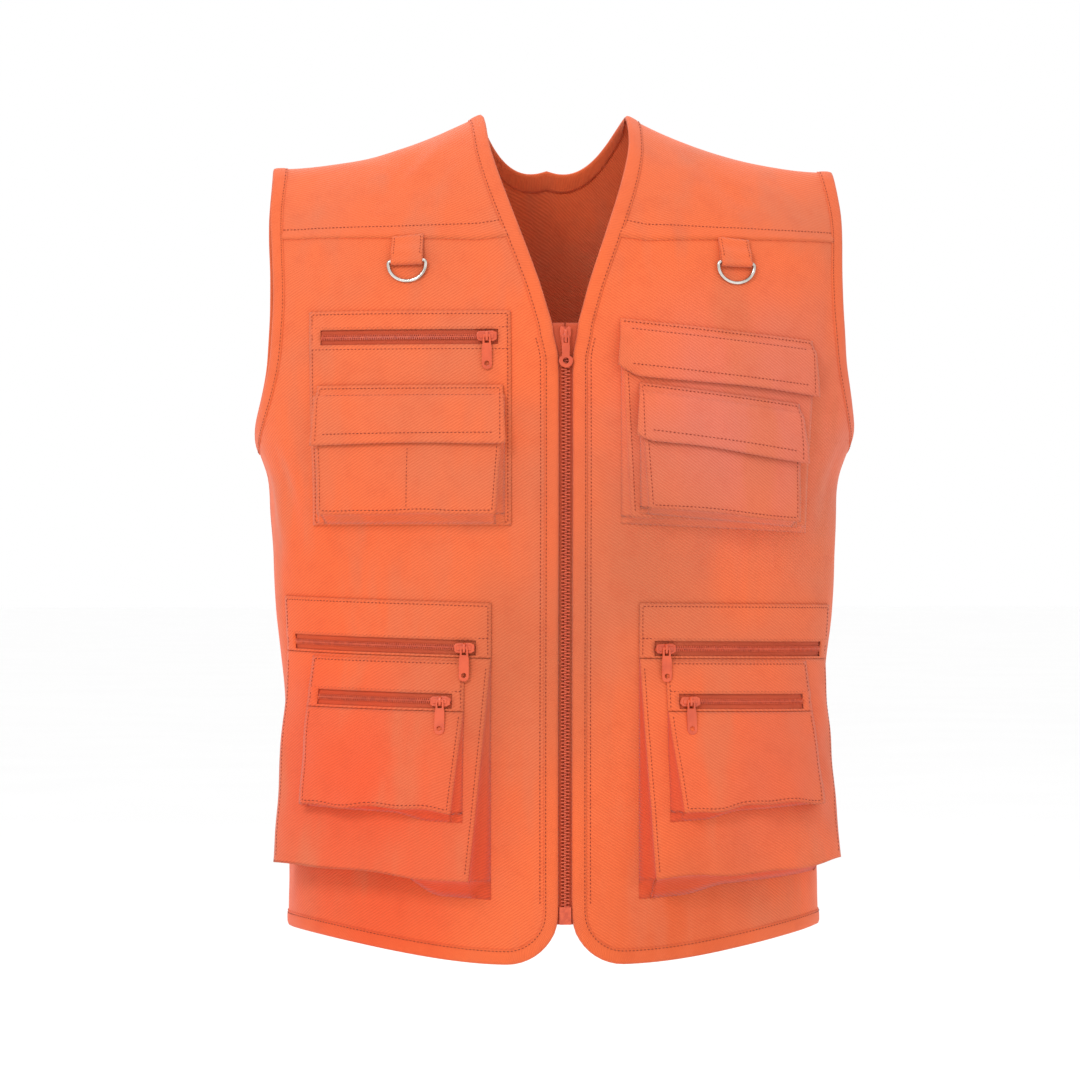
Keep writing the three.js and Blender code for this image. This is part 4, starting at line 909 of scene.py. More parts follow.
class Bag:
    """A bag of cloth on a ground: its sizes, its edges and the height of its front at a place."""

    def __init__(self, ground, **sizes):
        self.ground = ground
        self.__dict__.update(sizes)

    def across(self, around):
        return (around - self.inner) / (self.outer - self.inner)

    def top_at(self, around):
        return self.top + self.top_slant * (around - self.inner)

    def bottom_at(self, around):
        return self.bottom + self.bottom_slant * (around - self.inner)

    def front_bottom_at(self, around):
        share = self.across(around)
        wave = sum(a * np.sin(2 * math.pi * (n * share + phase)) for a, n, phase in self.ripples)
        return self.bottom_at(around) - self.bottom_inset + wave

    def inside_at(self, around, drop):
        """How far the front's inner face stands off the ground."""
        top = self.top_at(around)
        share = np.clip((drop - top) / (self.front_bottom_at(around) - top), 0, 1)
        t = np.clip(self.across(around), 0, 1)
        pillow = self.pillow * np.sin(math.pi * t) ** 0.7 * np.sin(math.pi * share**0.8) ** 1.2
        lip = sum(0.6 * a * np.cos(2 * math.pi * (n * t + phase)) * share**6 for a, n, phase in self.ripples)
        flat = np.stack(np.broadcast_arrays(around, drop, 0.0), -1)
        crumple = waves(flat, self.seed, 38, self.wrinkle) * smooth(share * 3)
        return self.mouth + (self.depth - self.mouth) * share + pillow + lip + crumple

    def face(self, around, drop):
        """The height of the front's outer face."""
        return self.ground(around, drop) + self.inside_at(around, drop) + POCKET_CLOTH

    def over(self, around, drop):
        """The ground for what lies on the bag."""
        return self.face(around, drop) + LAYER_GAP


def pocket_bag(node, side, bag):
    """A bag of cloth: its front, and gussets folded inwards at its sides and along its bottom."""
    gusset = np.linspace(0, 1, FOLD_STEPS + 1)[:-1]
    count = int((bag.outer - bag.inner) / BAG_CELL)
    front_rows = int((bag.bottom - bag.top) / BAG_CELL)
    gx = np.concatenate([gusset, np.ones(count), gusset[::-1]])[None, :]
    t = np.concatenate([np.zeros(FOLD_STEPS), np.linspace(0, 1, count), np.ones(FOLD_STEPS)])[None, :]
    sign = np.concatenate([np.ones(FOLD_STEPS), np.zeros(count), -np.ones(FOLD_STEPS)])[None, :]
    share = np.concatenate([np.linspace(0, 1, front_rows), np.ones(FOLD_STEPS)])[:, None]
    gy = np.concatenate([np.ones(front_rows), gusset[::-1]])[:, None]
    near = bag.near_side * share + GAP
    far = bag.far_side * share + GAP
    base = np.where(t < 0.5, bag.inner, bag.outer)
    front_line = bag.inner + near + (bag.outer - bag.inner - near - far) * t
    around = np.where(gx < 1, base + (front_line - base) * gx, front_line)
    around = around + sign * bag.tuck * np.sin(math.pi * gx) * share
    front_bottom = bag.front_bottom_at(front_line)
    drop = bag.top_at(around) + (front_bottom - bag.top_at(around)) * share
    sewn = bag.bottom_at(around) - bag.lift * smooth((t - 0.15) / 0.25)
    below = sewn + (front_bottom - sewn) * gy
    drop = np.where(gy < 1, below - bag.tuck * np.sin(math.pi * gy), drop)
    reach = np.clip(1 - np.hypot(1 - gx, 1 - gy), 0, 1)
    inside = bag.inside_at(front_line, np.minimum(drop, front_bottom))
    points = surface_point(side, around, drop, bag.ground(around, drop) + (inside + POCKET_CLOTH) * reach)
    u = running(np.linalg.norm(np.diff(points, axis=1), axis=2).mean(axis=0))
    h = running(np.linalg.norm(np.diff(points, axis=0), axis=2).mean(axis=1))
    # Painted shade: the folded-in gussets take the darker gusset colour when the bag asks for it
    deep = None
    if bag.deep:
        deep = (gx[:, 1:] < 1) | (gx[:, :-1] < 1) | (gy[1:] < 1) | (gy[:-1] < 1)
    uv = (u[None, :], h[:, None])
    cloth(f"{node}_cloth", points, uv, POCKET_CLOTH, TWILL, [node], deep=deep)


def bag_stitches(side, bag, edges):
    """Stitches inside the edges of a bag's front: n near the zip, f far from it, b along the bottom."""
    share = np.linspace(0.04, 0.97, 50)
    upright = {
        "n": bag.inner + bag.near_side * share + GAP + SEAM_INSET,
        "f": bag.outer - bag.far_side * share - GAP - SEAM_INSET,
    }
    for key in edges:
        if key == "b":
            around = np.linspace(bag.inner + bag.near_side + 4, bag.outer - bag.far_side - 4, 50)
            stitch_path(side, around, bag.front_bottom_at(around) - SEAM_INSET, bag.face)
        else:
            around = upright[key]
            drop = bag.top_at(around) + (bag.front_bottom_at(around) - bag.top_at(around)) * share
            stitch_path(side, around, drop, bag.face)


def lines_through(low, high, first, second, step):
    """Grid lines from low to high with lines exactly at first and second."""
    parts = []
    for start, end in ((low, first), (first, second), (second, high)):
        parts.append(np.linspace(start, end, max(2, int((end - start) / step) + 1))[:-1])
    return np.concatenate([*parts, [high]])


def slotted_band(node, side, ground, box, slot):
    """A flat piece with a slot for a zip, its grid lines on the slot's edges and a welt along them."""
    across = lines_through(box.inner, box.outer, slot.inner, slot.outer, BAND_CELL)
    below = lines_through(box.top, box.bottom, slot.top, slot.bottom, 3.0)
    around, flat_drop = np.meshgrid(across, below)
    drop = flat_drop + box.slant * (around - box.inner)
    middle_u = (across[1:] + across[:-1]) / 2
    middle_h = (below[1:] + below[:-1]) / 2
    inside_u = (middle_u > slot.inner) & (middle_u < slot.outer)
    inside_h = (middle_h > slot.top) & (middle_h < slot.bottom)
    keep = ~(inside_h[:, None] & inside_u[None, :])
    near = np.minimum(np.abs(flat_drop - slot.top), np.abs(flat_drop - slot.bottom))
    welt = WELT * np.exp(-((near / 3.5) ** 2)) * smooth((around - slot.inner + 6) / 6)
    points = surface_point(side, around, drop, ground(around, drop) + welt + POCKET_CLOTH)
    cloth(f"{node}_cloth", points, (around, flat_drop), POCKET_CLOTH, TWILL, [node], keep)


def box_grid(box, step):
    cols = max(3, int((box.outer - box.inner) / step))
    rows = max(3, int((box.bottom - box.top) / step))
    around, share = np.meshgrid(np.linspace(box.inner, box.outer, cols), np.linspace(0, 1, rows))
    return around, box.top + (box.bottom - box.top) * share + box.slant * (around - box.inner)


def flap_height(bag, flap):
    """The height of a flap's inner face: on the ground above the bag's mouth, on the bag below it."""
    def height(around, drop):
        below = drop - bag.top_at(around)
        onto = smooth((below + 4) / 8)
        lift = 1.2 * smooth(below / 30)
        t = (around - flap.inner) / (flap.outer - flap.inner)
        fall = drop - flap.top - flap.slant * (around - flap.inner)
        share = np.clip(fall / (flap.bottom - flap.top), 0, 1)
        curl = flap.curl * share**5 * (0.5 + 0.5 * np.sin(2 * math.pi * (1.5 * t + 0.2)))
        return bag.ground(around, drop) * (1 - onto) + (bag.over(around, drop) + lift) * onto + curl
    return height


def pocket_flap(node, side, bag, flap):
    """A flap over a bag, with a rippling lower edge and its near corner cut. Returns its outer face."""
    height = flap_height(bag, flap)
    around, drop = box_grid(flap, FLAP_CELL)
    t = (around - flap.inner) / (flap.outer - flap.inner)
    share = (drop - flap.top - flap.slant * (around - flap.inner)) / (flap.bottom - flap.top)
    near = flap.corner * np.maximum(0, 1 - (around - flap.inner) / (flap.corner * 1.2)) ** 1.5
    amount, count, phase = flap.ripple
    wave = amount * np.sin(2 * math.pi * (count * t + phase))
    drop = drop - near * flap.cut * share + wave * share
    around = around + flap.lean * (0.5 - t) * share
    points = surface_point(side, around, drop, height(around, drop) + FLAP_CLOTH)
    uv = (around, share * (flap.bottom - flap.top))
    cloth(f"{node}_cloth", points, uv, FLAP_CLOTH, TWILL, [node])

    def face(a, d):
        return height(a, d) + FLAP_CLOTH
    return face


def seam_across(side, box, drop, height):
    """A stitched seam right across a slanted box, at a drop measured at its near edge."""
    around = np.linspace(box.inner + 1.5, box.outer - 1.5, 60)
    stitch_path(side, around, drop + box.slant * (around - box.inner), height)


def frame_stitches(side, box, inset, height, edges="tlrb"):
    """Stitch lines inside the edges of a slanted box: t top, b bottom, l near side, r far side."""
    low = box.inner + inset
    high = box.outer - inset
    across = np.linspace(low, high, 40)
    tilt = box.slant * (across - box.inner)
    upright = np.linspace(box.top + inset, box.bottom - inset, 30)
    lines = {
        "t": (across, box.top + inset + tilt),
        "b": (across, box.bottom - inset + tilt),
        "l": (low, upright + box.slant * (low - box.inner)),
        "r": (high, upright + box.slant * (high - box.inner)),
    }
    for key in edges:
        stitch_path(side, *lines[key], height)


# Zips

TEETH = Sizes(pitch=2.8, wide=4.4, tall=1.45, thick=2.3)
COIL = Sizes(pitch=1.5, wide=2.6, tall=0.95, thick=1.2)
BOX_FACES = [[0, 1, 2, 3], [7, 6, 5, 4], [0, 4, 5, 1], [1, 5, 6, 2], [2, 6, 7, 3], [3, 7, 4, 0]]
TOOTH_TAPER = 0.55
TOOTH_NARROW = 0.7
TOOTH_INSIDE = 0.22
COIL_RISE = 1.3
TAPE_MARGIN = 3
ZIP_STOP = 13
PIN_BOX = Sizes(half=4, height=14, top=2.3, thick=3.4)


def tooth_row(centres, across, along, outwards, size):
    """Boxes with narrowed outer ends, one for each tooth of one side of a zip."""
    half = along * size.tall / 2
    near = centres - across * size.wide * TOOTH_INSIDE
    far = centres + across * size.wide * (1 - TOOTH_INSIDE)
    low = -outwards * size.thick / 2
    high = outwards * size.thick / 2
    corners = [
        near - half * TOOTH_TAPER + low,
        near + half * TOOTH_TAPER + low,
        far + half + low,
        far - half + low,
        near - half * TOOTH_TAPER + high * TOOTH_NARROW,
        near + half * TOOTH_TAPER + high * TOOTH_NARROW,
        far + half * TOOTH_NARROW + high,
        far - half * TOOTH_NARROW + high,
    ]
    return np.stack(corners, 1)


def zip_teeth(name, side, around, drop, height, size, node):
    """Teeth along a line on the cloth, by turns on each side of it."""
    centres = surface_point(side, around, drop, height)
    along = unit(np.gradient(centres, axis=0))
    outwards = unit(surface_point(side, around, drop, height + 1) - centres)
    across = np.cross(along, outwards)
    rows = []
    for start, sign in ((0, 1), (1, -1)):
        pick = slice(start, None, 2)
        rows.append(tooth_row(centres[pick], sign * across[pick], along[pick], outwards[pick], size))
    points = np.concatenate(rows)
    faces = np.array(BOX_FACES)[None] + 8 * np.arange(len(points))[:, None, None]
    piece = make_object(name, points.reshape(-1, 3), faces.reshape(-1, 4).tolist(), ZIP, None, False)
    settle(piece, [node])


def front_teeth():
    drops = np.arange(V_DEPTH + 2.0, LENGTH - ZIP_END - ZIP_STOP, TEETH.pitch / 2)
    zip_teeth("zip_teeth_row", 1, np.zeros(len(drops)), drops, 0.3, TEETH, "zip_teeth")


def front_tape(side, word):
    around, drop = np.meshgrid(np.linspace(0.25, 16, 8), np.linspace(V_DEPTH - 2, LENGTH - ZIP_END, 150))
    points = surface_point(side, around, drop, -1.0)
    cloth(f"zip_tape_{word}_cloth", points, (around, drop), 0.7, TAPE_CLOTH, [f"zip_tape_{word}"])


def zip_pin_box():
    """The moulded box at the lower end of the front zip, across both tapes."""
    end = LENGTH - ZIP_END
    across = np.linspace(-PIN_BOX.half, PIN_BOX.half, 9)
    around, drop = np.meshgrid(across, np.linspace(end - PIN_BOX.height, end, 6))
    left = surface_point(-1, np.abs(around), drop, PIN_BOX.top)
    right = surface_point(1, np.abs(around), drop, PIN_BOX.top)
    points = np.where(around[..., None] < 0, left, right)
    both, faces, _, _ = closed_sheet(points, PIN_BOX.thick, np.ones((5, 8), bool))
    settle(make_object("zip_pin_box_block", both, faces, ZIP, None, False), ["zip_pin_box"])


def pocket_zip(prefix, side, ground, slot, box):
    """A fine coil on a tape, seen through the slot of a band."""
    length = slot.outer - slot.inner
    around = np.linspace(slot.inner + 1, slot.outer - 1, int(length / COIL.pitch * 2))
    drop = (slot.top + slot.bottom) / 2 + box.slant * (around - box.inner)
    height = ground(around, drop) + COIL_RISE
    zip_teeth(f"{prefix}_zip_coil", side, around, drop, height, COIL, f"{prefix}_zip_teeth")
    around = np.linspace(slot.inner - TAPE_MARGIN, slot.outer + TAPE_MARGIN, int(length / BAND_CELL))
    around, low = np.meshgrid(around, np.linspace(slot.top - 2, slot.bottom + 2, 7))
    drop = low + box.slant * (around - box.inner)
    points = surface_point(side, around, drop, ground(around, drop) - 0.1)
    cloth(f"{prefix}_zip_tape", points, (around, low), 0.35, TAPE_CLOTH, [])


# Sliders and pullers, drawn flat and set on the shell. A plate is its outline, its thickness, its bevel
# and its height below the puller's bar. A crown is its width, its reach along the bar and its rise.

FRONT_SLIDER = [
    (
        [
            (-4.2, 8), (-2.6, 8.6), (0, 6.6), (2.6, 8.6), (4.2, 8), (4.4, 3),
            (3.6, -3), (3, -7.4), (-3, -7.4), (-3.6, -3), (-4.4, 3),
        ],
        2.0, 0.5, 2.3,
    ),
    ([(-1.5, 5.6), (1.5, 5.6), (1.5, -4.6), (-1.5, -4.6)], 1.6, 0.5, 1.0),
]
FRONT_CROWN = (2.0, 5.0, 1.5)

POCKET_SLIDER = [
    (
        [(-8, 2.2), (-6.4, 3.8), (5, 4.2), (8, 2.6), (8, -2.6), (5, -4.2), (-6.4, -3.8), (-8, -2.2)],
        1.6, 0.5, 2.1,
    ),
    ([(-6, 1.7), (5.6, 1.9), (5.6, -1.9), (-6, -1.7)], 1.2, 0.4, 1.2),
]
POCKET_CROWN = (2.0, 3.8, 1.6)

PULLER_THICKNESS = 1.5
PULLER_BEVEL = 0.35


def flat_plate(outline, holes, thickness, bevel):
    """A mesh from an outline with holes, in millimetres, with rounded edges, centred in thickness."""
    curve = bpy.data.curves.new("plate", "CURVE")
    curve.dimensions = "2D"
    curve.fill_mode = "BOTH"
    curve.extrude = (thickness / 2 - bevel) * MM
    curve.bevel_depth = bevel * MM
    curve.bevel_resolution = 2
    curve.offset = -bevel * MM
    for ring in [outline, *holes]:
        spline = curve.splines.new("POLY")
        spline.points.add(len(ring) - 1)
        for point, (x, y) in zip(spline.points, ring):
            point.co = (x * MM, y * MM, 0, 1)
        spline.use_cyclic_u = True
    helper = add_object("plate", curve)
    graph = bpy.context.evaluated_depsgraph_get()
    mesh = bpy.data.meshes.new_from_object(helper.evaluated_get(graph))
    bpy.data.objects.remove(helper)
    bpy.data.curves.remove(curve)
    return mesh


def arc(x, y, radius, start, end, count):
    angles = np.radians(np.linspace(start, end, count))
    return [(x + radius * math.cos(a), y + radius * math.sin(a)) for a in angles]


def join_meshes(name, meshes, nodes, body=BODY):
    """One enamelled piece from several meshes, each with its matrix."""
    points = []
    faces = []
    for mesh, matrix in meshes:
        start = len(points)
        points += [matrix @ v.co / MM for v in mesh.vertices]
        faces += [[start + i for i in p.vertices] for p in mesh.polygons]
        bpy.data.meshes.remove(mesh)
    settle(make_object(name, points, faces, PULL, None, False), nodes, body)


def joint_frame(node):
    """A moving node's axis as a flat frame: x along its bar, y up the node, z off the cloth, in metres."""
    joint = next(j for j in frame["record"]["behaviour"]["joints"] if j["name"] == f"{node}_swing")
    x = -Vector(joint["axis"]).normalized()
    pivot = Vector(joint["pos_m"])
    low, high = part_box(node)
    middle = (Vector(low) + Vector(high)) / 2
    y = pivot - middle
    y = (y - x * y.dot(x)).normalized()
    z = x.cross(y)
    return Matrix((
        (x.x, y.x, z.x, pivot.x),
        (x.y, y.y, z.y, pivot.y),
        (x.z, y.z, z.z, pivot.z),
        (0, 0, 0, 1),
    ))


def crown_mesh(width, reach, rise):
    """An arch along y over the bar, as a beveled plate standing on edge."""
    outline = [(-reach, -1.6), *arc(0, -0.2, reach, 180, 90, 7)[:-1], *arc(0, -0.2, reach, 90, 0, 7)]
    outline.append((reach, -1.6))
    outline = [(x, y * rise / reach if y > 0 else y) for x, y in outline]
    mesh = flat_plate(outline, [], width, 0.4)
    mesh.transform(Matrix(((0, 0, 1, 0), (1, 0, 0, 0), (0, 1, 0, 0), (0, 0, 0, 1))))
    return mesh


def slider(prefix, plates, crown):
    """A slider: its plates and the crown over the puller's bar."""
    place = joint_frame(f"{prefix}zip_puller")
    meshes = []
    for outline, thickness, bevel, below in plates:
        lowered = place @ Matrix.Translation((0, 0, -below * MM))
        meshes.append((flat_plate(outline, [], thickness, bevel), lowered))
    meshes.append((crown_mesh(*crown), place))
    join_meshes(f"{prefix}zip_slider_body", meshes, [f"{prefix}zip_slider"])


def puller(node, outline, holes):
    mesh = flat_plate(outline, holes, PULLER_THICKNESS, PULLER_BEVEL)
    join_meshes(f"{node}_tab", [(mesh, joint_frame(node))], [node], f"{node}_body")


def window(half, bottom):
    """The hole of a puller round its slider's bar."""
    return [(-half, -1), (-half, bottom), (half, bottom), (half, -1)]


def front_puller():
    """A loop round the bar, a waisted tab and a round end with its eye."""
    eye = 5.6
    waist = 3.3
    neck = 3.0
    centre = eye - 25
    outline = [(-neck, 1.2), (neck, 1.2), (neck, -5.5), (waist, -9), (waist * 0.9, centre + eye * 0.7)]
    outline += arc(0, centre, eye, 30, -210, 22)
    outline += [(-waist * 0.9, centre + eye * 0.7), (-waist, -9), (-neck, -5.5)]
    puller("zip_puller", outline, [window(1.6, -5), arc(0, centre, 2.4, 0, 345, 16)])


def pocket_puller(node):
    """A loop round the bar and a long tab with a six-sided hole in its round end."""
    outline = [(-3, 1.2), (3, 1.2), (3.4, -6), (4, -9), (4.1, -22)]
    outline += arc(0, -22.6, 4.1, 0, -180, 14)
    outline += [(-4.1, -22), (-4, -9), (-3.4, -6)]
    puller(node, outline, [window(1.7, -5.6), arc(0, -21.8, 2.1, 30, 330, 6)])


def pocket_slider(prefix):
    slider(f"{prefix}_", POCKET_SLIDER, POCKET_CROWN)
    pocket_puller(f"{prefix}_zip_puller")


# D-rings and their tabs

TAB_CENTRE = {"left": 125, "right": 139}
TAB_WIDTH = 25
TAB_LENGTH = 29
TAB_LEAF = 1.2
TAB_TOP = YOKE_LEVEL - 5
RING_WIDTH = 33
RING_DEPTH = 13.5
RING_STRAIGHT = 2.5
RING_CORNER = 2
RING_WIRE = 3
RING_CLEARANCE = 0.75


def d_ring(word):
    node = f"d_ring_{word}"
    half = (RING_WIDTH - RING_WIRE) / 2
    bar = half - RING_CORNER
    path = [(x, 0.0) for x in np.linspace(-bar, bar, 12)]
    path += arc(bar, -RING_CORNER, RING_CORNER, 90, 10, 5)[1:]
    sweep = np.linspace(0, math.pi, 40)
    path += [(half * math.cos(a), -RING_STRAIGHT - RING_DEPTH * math.sin(a)) for a in sweep]
    path += arc(-bar, -RING_CORNER, RING_CORNER, 170, 90, 5)[:-1]
    path = np.array(path)
    along = unit(np.roll(path, -1, axis=0) - np.roll(path, 1, axis=0))
    sideways = np.stack([-along[:, 1], along[:, 0]], 1)
    turn_and_shift = np.array(joint_frame(node))
    rings = []
    for turn in np.linspace(0, 2 * math.pi, 13)[:-1]:
        flat = path + sideways * math.cos(turn) * RING_WIRE / 2
        height = np.full(len(path), math.sin(turn) * RING_WIRE / 2)
        local = np.column_stack([flat, height]) * MM
        rings.append((local @ turn_and_shift[:3, :3].T + turn_and_shift[:3, 3]) / MM)
    tube(f"{node}_wire", np.stack(rings, 1), True, NICKEL, [node], 9, f"{node}_body")


def tab_face(below):
    """The height of a tab's front, which lifts towards its fold."""
    return CLOTH + GAP + 2 * TAB_LEAF + 0.3 + 2.6 * smooth((below - 7) / 10)


def d_ring_tab(side, word):
    """A strip that comes down from the yoke, turns round the ring's bar and goes back up behind."""
    node = f"d_ring_tab_{word}"
    under = CLOTH + GAP
    radius = RING_WIRE / 2 + RING_CLEARANCE + TAB_LEAF
    centre = TAB_LENGTH - radius
    front = [(b, tab_face(b)) for b in np.linspace(0, centre - 2, 9)]
    turn = arc(centre, under + radius, radius, 85, -85, 11)
    back = [(b, under) for b in np.linspace(centre - 2, 0, 4)]
    profile = np.array(front + turn + back, float)
    middle = TAB_CENTRE[word]
    around = middle + TAB_WIDTH * (np.linspace(0, 1, 14)[None, :] - 0.5) + np.zeros((len(profile), 1))
    points = surface_point(side, around, TAB_TOP + profile[:, :1], profile[:, 1:])
    length = running(np.linalg.norm(np.diff(points, axis=0), axis=2).mean(axis=1))
    cloth(f"{node}_cloth", points, (around, length[:, None]), 0.9, TWILL, [node])

    def tab_top(a, d):
        return tab_face(d - TAB_TOP)
    for edge in (-1, 1):
        sewn = middle + edge * (TAB_WIDTH / 2 - 2)
        stitch_path(side, sewn, np.linspace(TAB_TOP + 1, TAB_TOP + 20, 10), tab_top)


# The pockets, by their sizes

BAND_WINDOW = 12
RIM = 2
SLOT_STITCH = 1.8
FLAP_STITCH = 8


def zip_slot(box, margin, band):
    top = box.top + band
    return Sizes(inner=box.inner + margin, outer=box.outer - margin, top=top, bottom=top + BAND_WINDOW)


def chest_left():
    side = -1
    base = Sizes(inner=43.5, outer=206.5, top=160, bottom=330, slant=0)
    slot = zip_slot(base, 10, 15)
    slotted_band("chest_left_base", side, panel_ground, base, slot)
    pocket_zip("chest_left", side, panel_ground, slot, base)
    pocket_slider("chest_left")
    frame_stitches(side, base, 2.5, panel_band_face)
    seam_across(side, base, slot.top - SLOT_STITCH, panel_band_face)
    seam_across(side, base, slot.bottom + 3.5, panel_band_face)

    def base_ground(around, drop):
        return panel_band_face(around, drop) + LAYER_GAP
    bag = Bag(
        base_ground, inner=48.5, outer=201.5, top=227, bottom=329, top_slant=0, bottom_slant=0,
        mouth=3.6, depth=12, bottom_inset=8, far_side=7, near_side=7, pillow=1.2, tuck=3, lift=0, deep=False,
        ripples=[(0.5, 1.5, 0.1), (0.3, 3.2, 0.4)], seed=21, wrinkle=0.35,
    )
    flap = Sizes(
        inner=50, outer=199, top=219, bottom=265, slant=0, corner=4, cut=0.3, lean=-4, curl=0.8,
        ripple=(0.5, 1, 0.2),
    )
    pocket_bag("chest_left_bag", side, bag)
    flap_face = pocket_flap("chest_left_flap", side, bag, flap)
    frame_stitches(side, flap, 2.5, flap_face, "tlr")
    frame_stitches(side, flap, FLAP_STITCH, flap_face, "tb")
    bag_stitches(side, bag, "nfb")
    stitch_path(side, 124.0, np.linspace(268, 316, 12), bag.face)


def chest_right():
    side = 1
    bag = Bag(
        panel_ground, inner=44, outer=206, top=173, bottom=329, top_slant=0.1, bottom_slant=0.045,
        mouth=3.2, depth=6, bottom_inset=6, far_side=6, near_side=7, pillow=1, tuck=2, lift=0, deep=False,
        ripples=[(0.4, 1.5, 0.1)], seed=22, wrinkle=0.4,
    )
    flap = Sizes(
        inner=44, outer=206, top=166, bottom=210, slant=0.1, corner=14, cut=0.5, lean=-6, curl=1.4,
        ripple=(0.8, 1, 0.1),
    )
    front_bag = Bag(
        bag.over, inner=58, outer=190, top=224, bottom=321, top_slant=0.12, bottom_slant=0.08,
        mouth=3.4, depth=11, bottom_inset=5, far_side=5, near_side=5, pillow=1.5, tuck=2, lift=0, deep=False,
        ripples=[(0.7, 1.2, 0.3)], seed=23, wrinkle=0.4,
    )
    front_flap = Sizes(
        inner=58, outer=190, top=217, bottom=262, slant=0.12, corner=10, cut=0.4, lean=-8, curl=1.2,
        ripple=(0.7, 1, 0.4),
    )
    pocket_bag("chest_right_bag", side, bag)
    flap_face = pocket_flap("chest_right_flap", side, bag, flap)
    bag_stitches(side, bag, "n")
    frame_stitches(side, flap, 2, flap_face, "tr")
    frame_stitches(side, flap, FLAP_STITCH, flap_face, "tb")
    pocket_bag("chest_right_front_bag", side, front_bag)
    front_face = pocket_flap("chest_right_front_flap", side, front_bag, front_flap)
    bag_stitches(side, front_bag, "nfb")
    frame_stitches(side, front_flap, 2, front_face, "tlr")
    frame_stitches(side, front_flap, FLAP_STITCH, front_face, "b")


LOWER_BOTTOM = LENGTH - HEM_LIFT - 26
LOWER_TOP = LOWER_BOTTOM - 236
SMALL_TOP = LOWER_TOP + 46
SMALL_BOTTOM = SMALL_TOP + 128
LOWER_SLANT = {"left": -0.03, "right": 0.012}

LOWER_BAG = {
    "left": {"near_side": 16, "lift": 16, "ripples": [(1.6, 1.0, 0.1), (0.8, 2.6, 0.45)]},
    "right": {"near_side": 9, "lift": 6, "ripples": [(1.4, 1.2, 0.6), (0.9, 2.8, 0.2)]},
}
SMALL_RIPPLES = {
    "left": [(1.5, 1.1, 0.35), (1.0, 3.1, 0.1)],
    "right": [(1.8, 1.3, 0.0), (0.9, 3.3, 0.3)],
}


def zip_pocket(prefix, side, ground, box, margin, band, inset, **sizes):
    """A band with a zip in its slot, and a wedge-shaped bag below it. Returns the bag."""
    slot = zip_slot(box, margin, band)
    box.bottom = slot.bottom + RIM
    # These bags have painted shade on their folded-in gussets
    bag = Bag(
        ground, inner=box.inner, outer=box.outer, top=box.bottom + GAP, top_slant=box.slant,
        mouth=0.8, deep=True, **sizes,
    )
    slotted_band(f"{prefix}_band", side, ground, box, slot)
    pocket_bag(f"{prefix}_bag", side, bag)
    pocket_zip(prefix, side, ground, slot, box)
    pocket_slider(prefix)

    def band_face(around, drop):
        return ground(around, drop) + POCKET_CLOTH
    frame_stitches(side, box, inset, band_face, "tlr")
    seam_across(side, box, slot.top - SLOT_STITCH, band_face)
    return bag


def lower_pocket(side, word):
    """The large lower pocket and the small one on its bag."""
    slant = LOWER_SLANT[word]
    bag = zip_pocket(
        f"lower_{word}", side, panel_ground,
        Sizes(inner=59, outer=240, top=LOWER_TOP, slant=slant), 12, 30, 2.5,
        bottom=LOWER_BOTTOM, bottom_slant=-0.07, depth=23, bottom_inset=15, far_side=11,
        pillow=2.5, tuck=5, seed=31 + side, wrinkle=0.8, **LOWER_BAG[word],
    )
    small = zip_pocket(
        f"lower_{word}_small", side, bag.over,
        Sizes(inner=80, outer=206, top=SMALL_TOP, slant=slant), 9, 26, 2.2,
        bottom=SMALL_BOTTOM, bottom_slant=-0.06, depth=10, bottom_inset=8, far_side=6, near_side=8,
        lift=5, pillow=2, tuck=3, ripples=SMALL_RIPPLES[word], seed=41 + side, wrinkle=0.7,
    )
    bag_stitches(side, bag, "nf")
    bag_stitches(side, small, "nfb")


# Camera, lights and floor. The places of lamps and their sizes are in metres.

CAMERA_DISTANCE = 4.0
CAMERA_YAW = math.radians(4.3)
CAMERA_LENS = 162.6
TARGET = Vector((-0.011 * math.cos(CAMERA_YAW), 0.011 * math.sin(CAMERA_YAW), -0.342))
FLOOR_LEVEL = -950
FLOOR_HALF = 40000

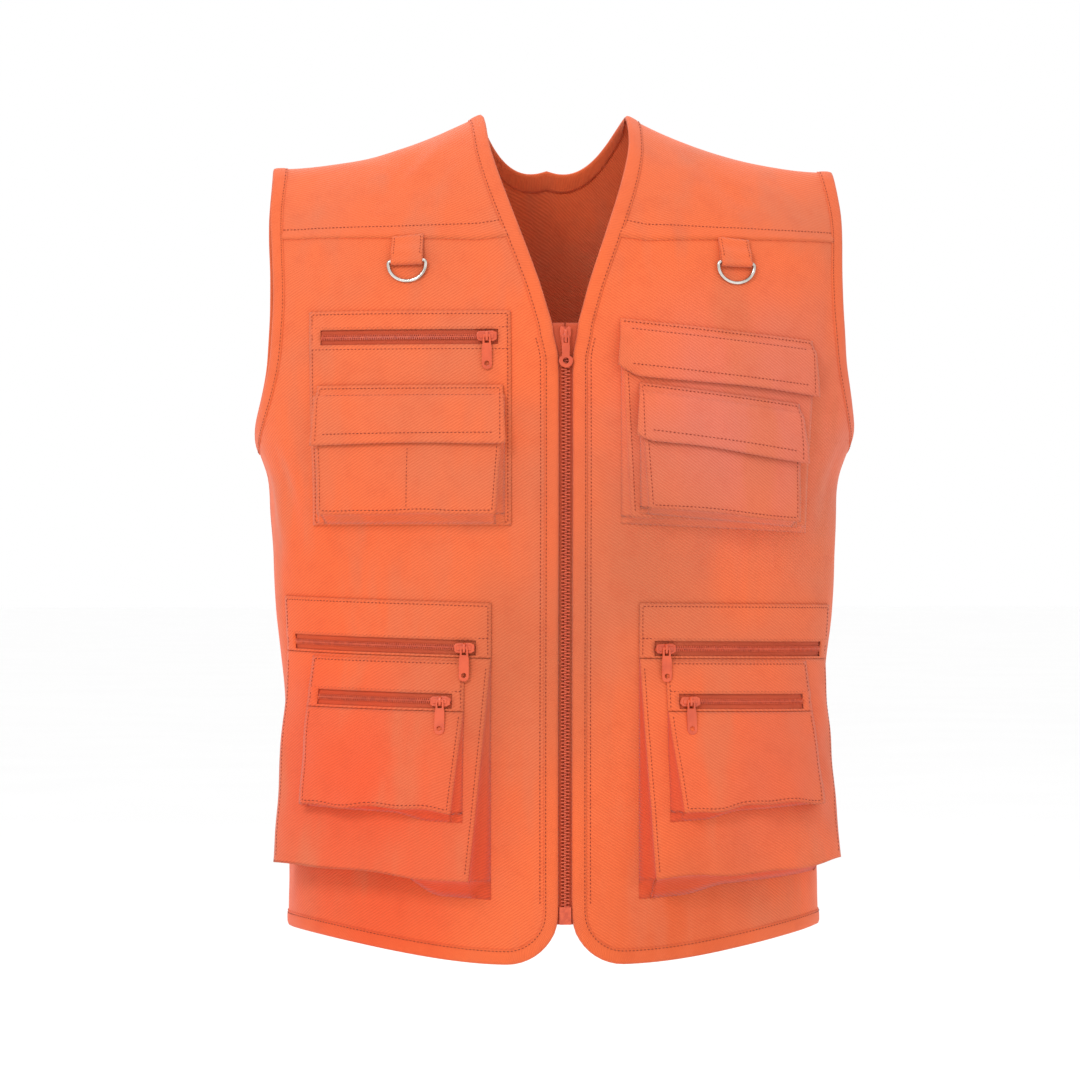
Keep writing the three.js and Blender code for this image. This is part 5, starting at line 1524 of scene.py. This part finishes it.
LAMPS = table(
    "name place size watts",
    ("key", (-1.6, -2.6, 1.6), 1.0, 46),
    ("fill", (2.2, -2.4, 0.4), 2.2, 8),
    ("top", (0, 0.2, 2.2), 1.6, 16),
    ("rear", (-0.5, 2.4, 1.4), 1.6, 24),
)


def camera():
    lens = bpy.data.cameras.new("camera")
    lens.sensor_fit = "HORIZONTAL"
    lens.sensor_width = 36
    lens.lens = CAMERA_LENS
    lens.clip_end = 50
    holder = add_object("camera", lens)
    forward = Vector((math.sin(CAMERA_YAW), math.cos(CAMERA_YAW), 0))
    holder.location = TARGET - forward * CAMERA_DISTANCE
    holder.rotation_euler = (math.pi / 2, 0, -CAMERA_YAW)
    bpy.context.scene.camera = holder


def lights():
    for lamp in LAMPS:
        light = bpy.data.lights.new(lamp["name"], "AREA")
        light.shape = "RECTANGLE"
        light.size = lamp["size"]
        light.size_y = lamp["size"]
        light.energy = lamp["watts"]
        holder = add_object(lamp["name"], light)
        holder.location = lamp["place"]
        holder.rotation_euler = (TARGET - Vector(lamp["place"])).to_track_quat("-Z", "Y").to_euler()
    world = bpy.data.worlds.new("studio")
    world.use_nodes = True
    background = world.node_tree.nodes["Background"]
    set_inputs(background, Color=(1, 1, 1, 1), Strength=1.0)
    bpy.context.scene.world = world
    bpy.context.scene.view_settings.view_transform = "Standard"


def studio_floor():
    """A wide pale floor below the vest. The white studio around it is the world's own light."""
    signs = ((-1, -1), (1, -1), (1, 1), (-1, 1))
    corners = [(x * FLOOR_HALF, y * FLOOR_HALF, FLOOR_LEVEL) for x, y in signs]
    paper = plain("studio_paper", (0.99, 0.99, 0.99), (0.98, 0.98, 0.98), 0.9, 0.0, 2.0)
    make_object("studio_floor", corners, [[0, 1, 2, 3]], paper, None, False)


camera()
lights()
studio_floor()
back_panel()
back_bindings()
for side, word in SIDES:
    front_panel(side, word)
    front_yoke(side, word)
    front_binding(side, word)
    armhole_binding(side, word)
    d_ring_tab(side, word)
    d_ring(word)
    lower_pocket(side, word)
    placket_stitches(side)
front_teeth()
for side, word in SIDES:
    front_tape(side, word)
zip_pin_box()
slider("", FRONT_SLIDER, FRONT_CROWN)
front_puller()
chest_left()
chest_right()
sew_all()
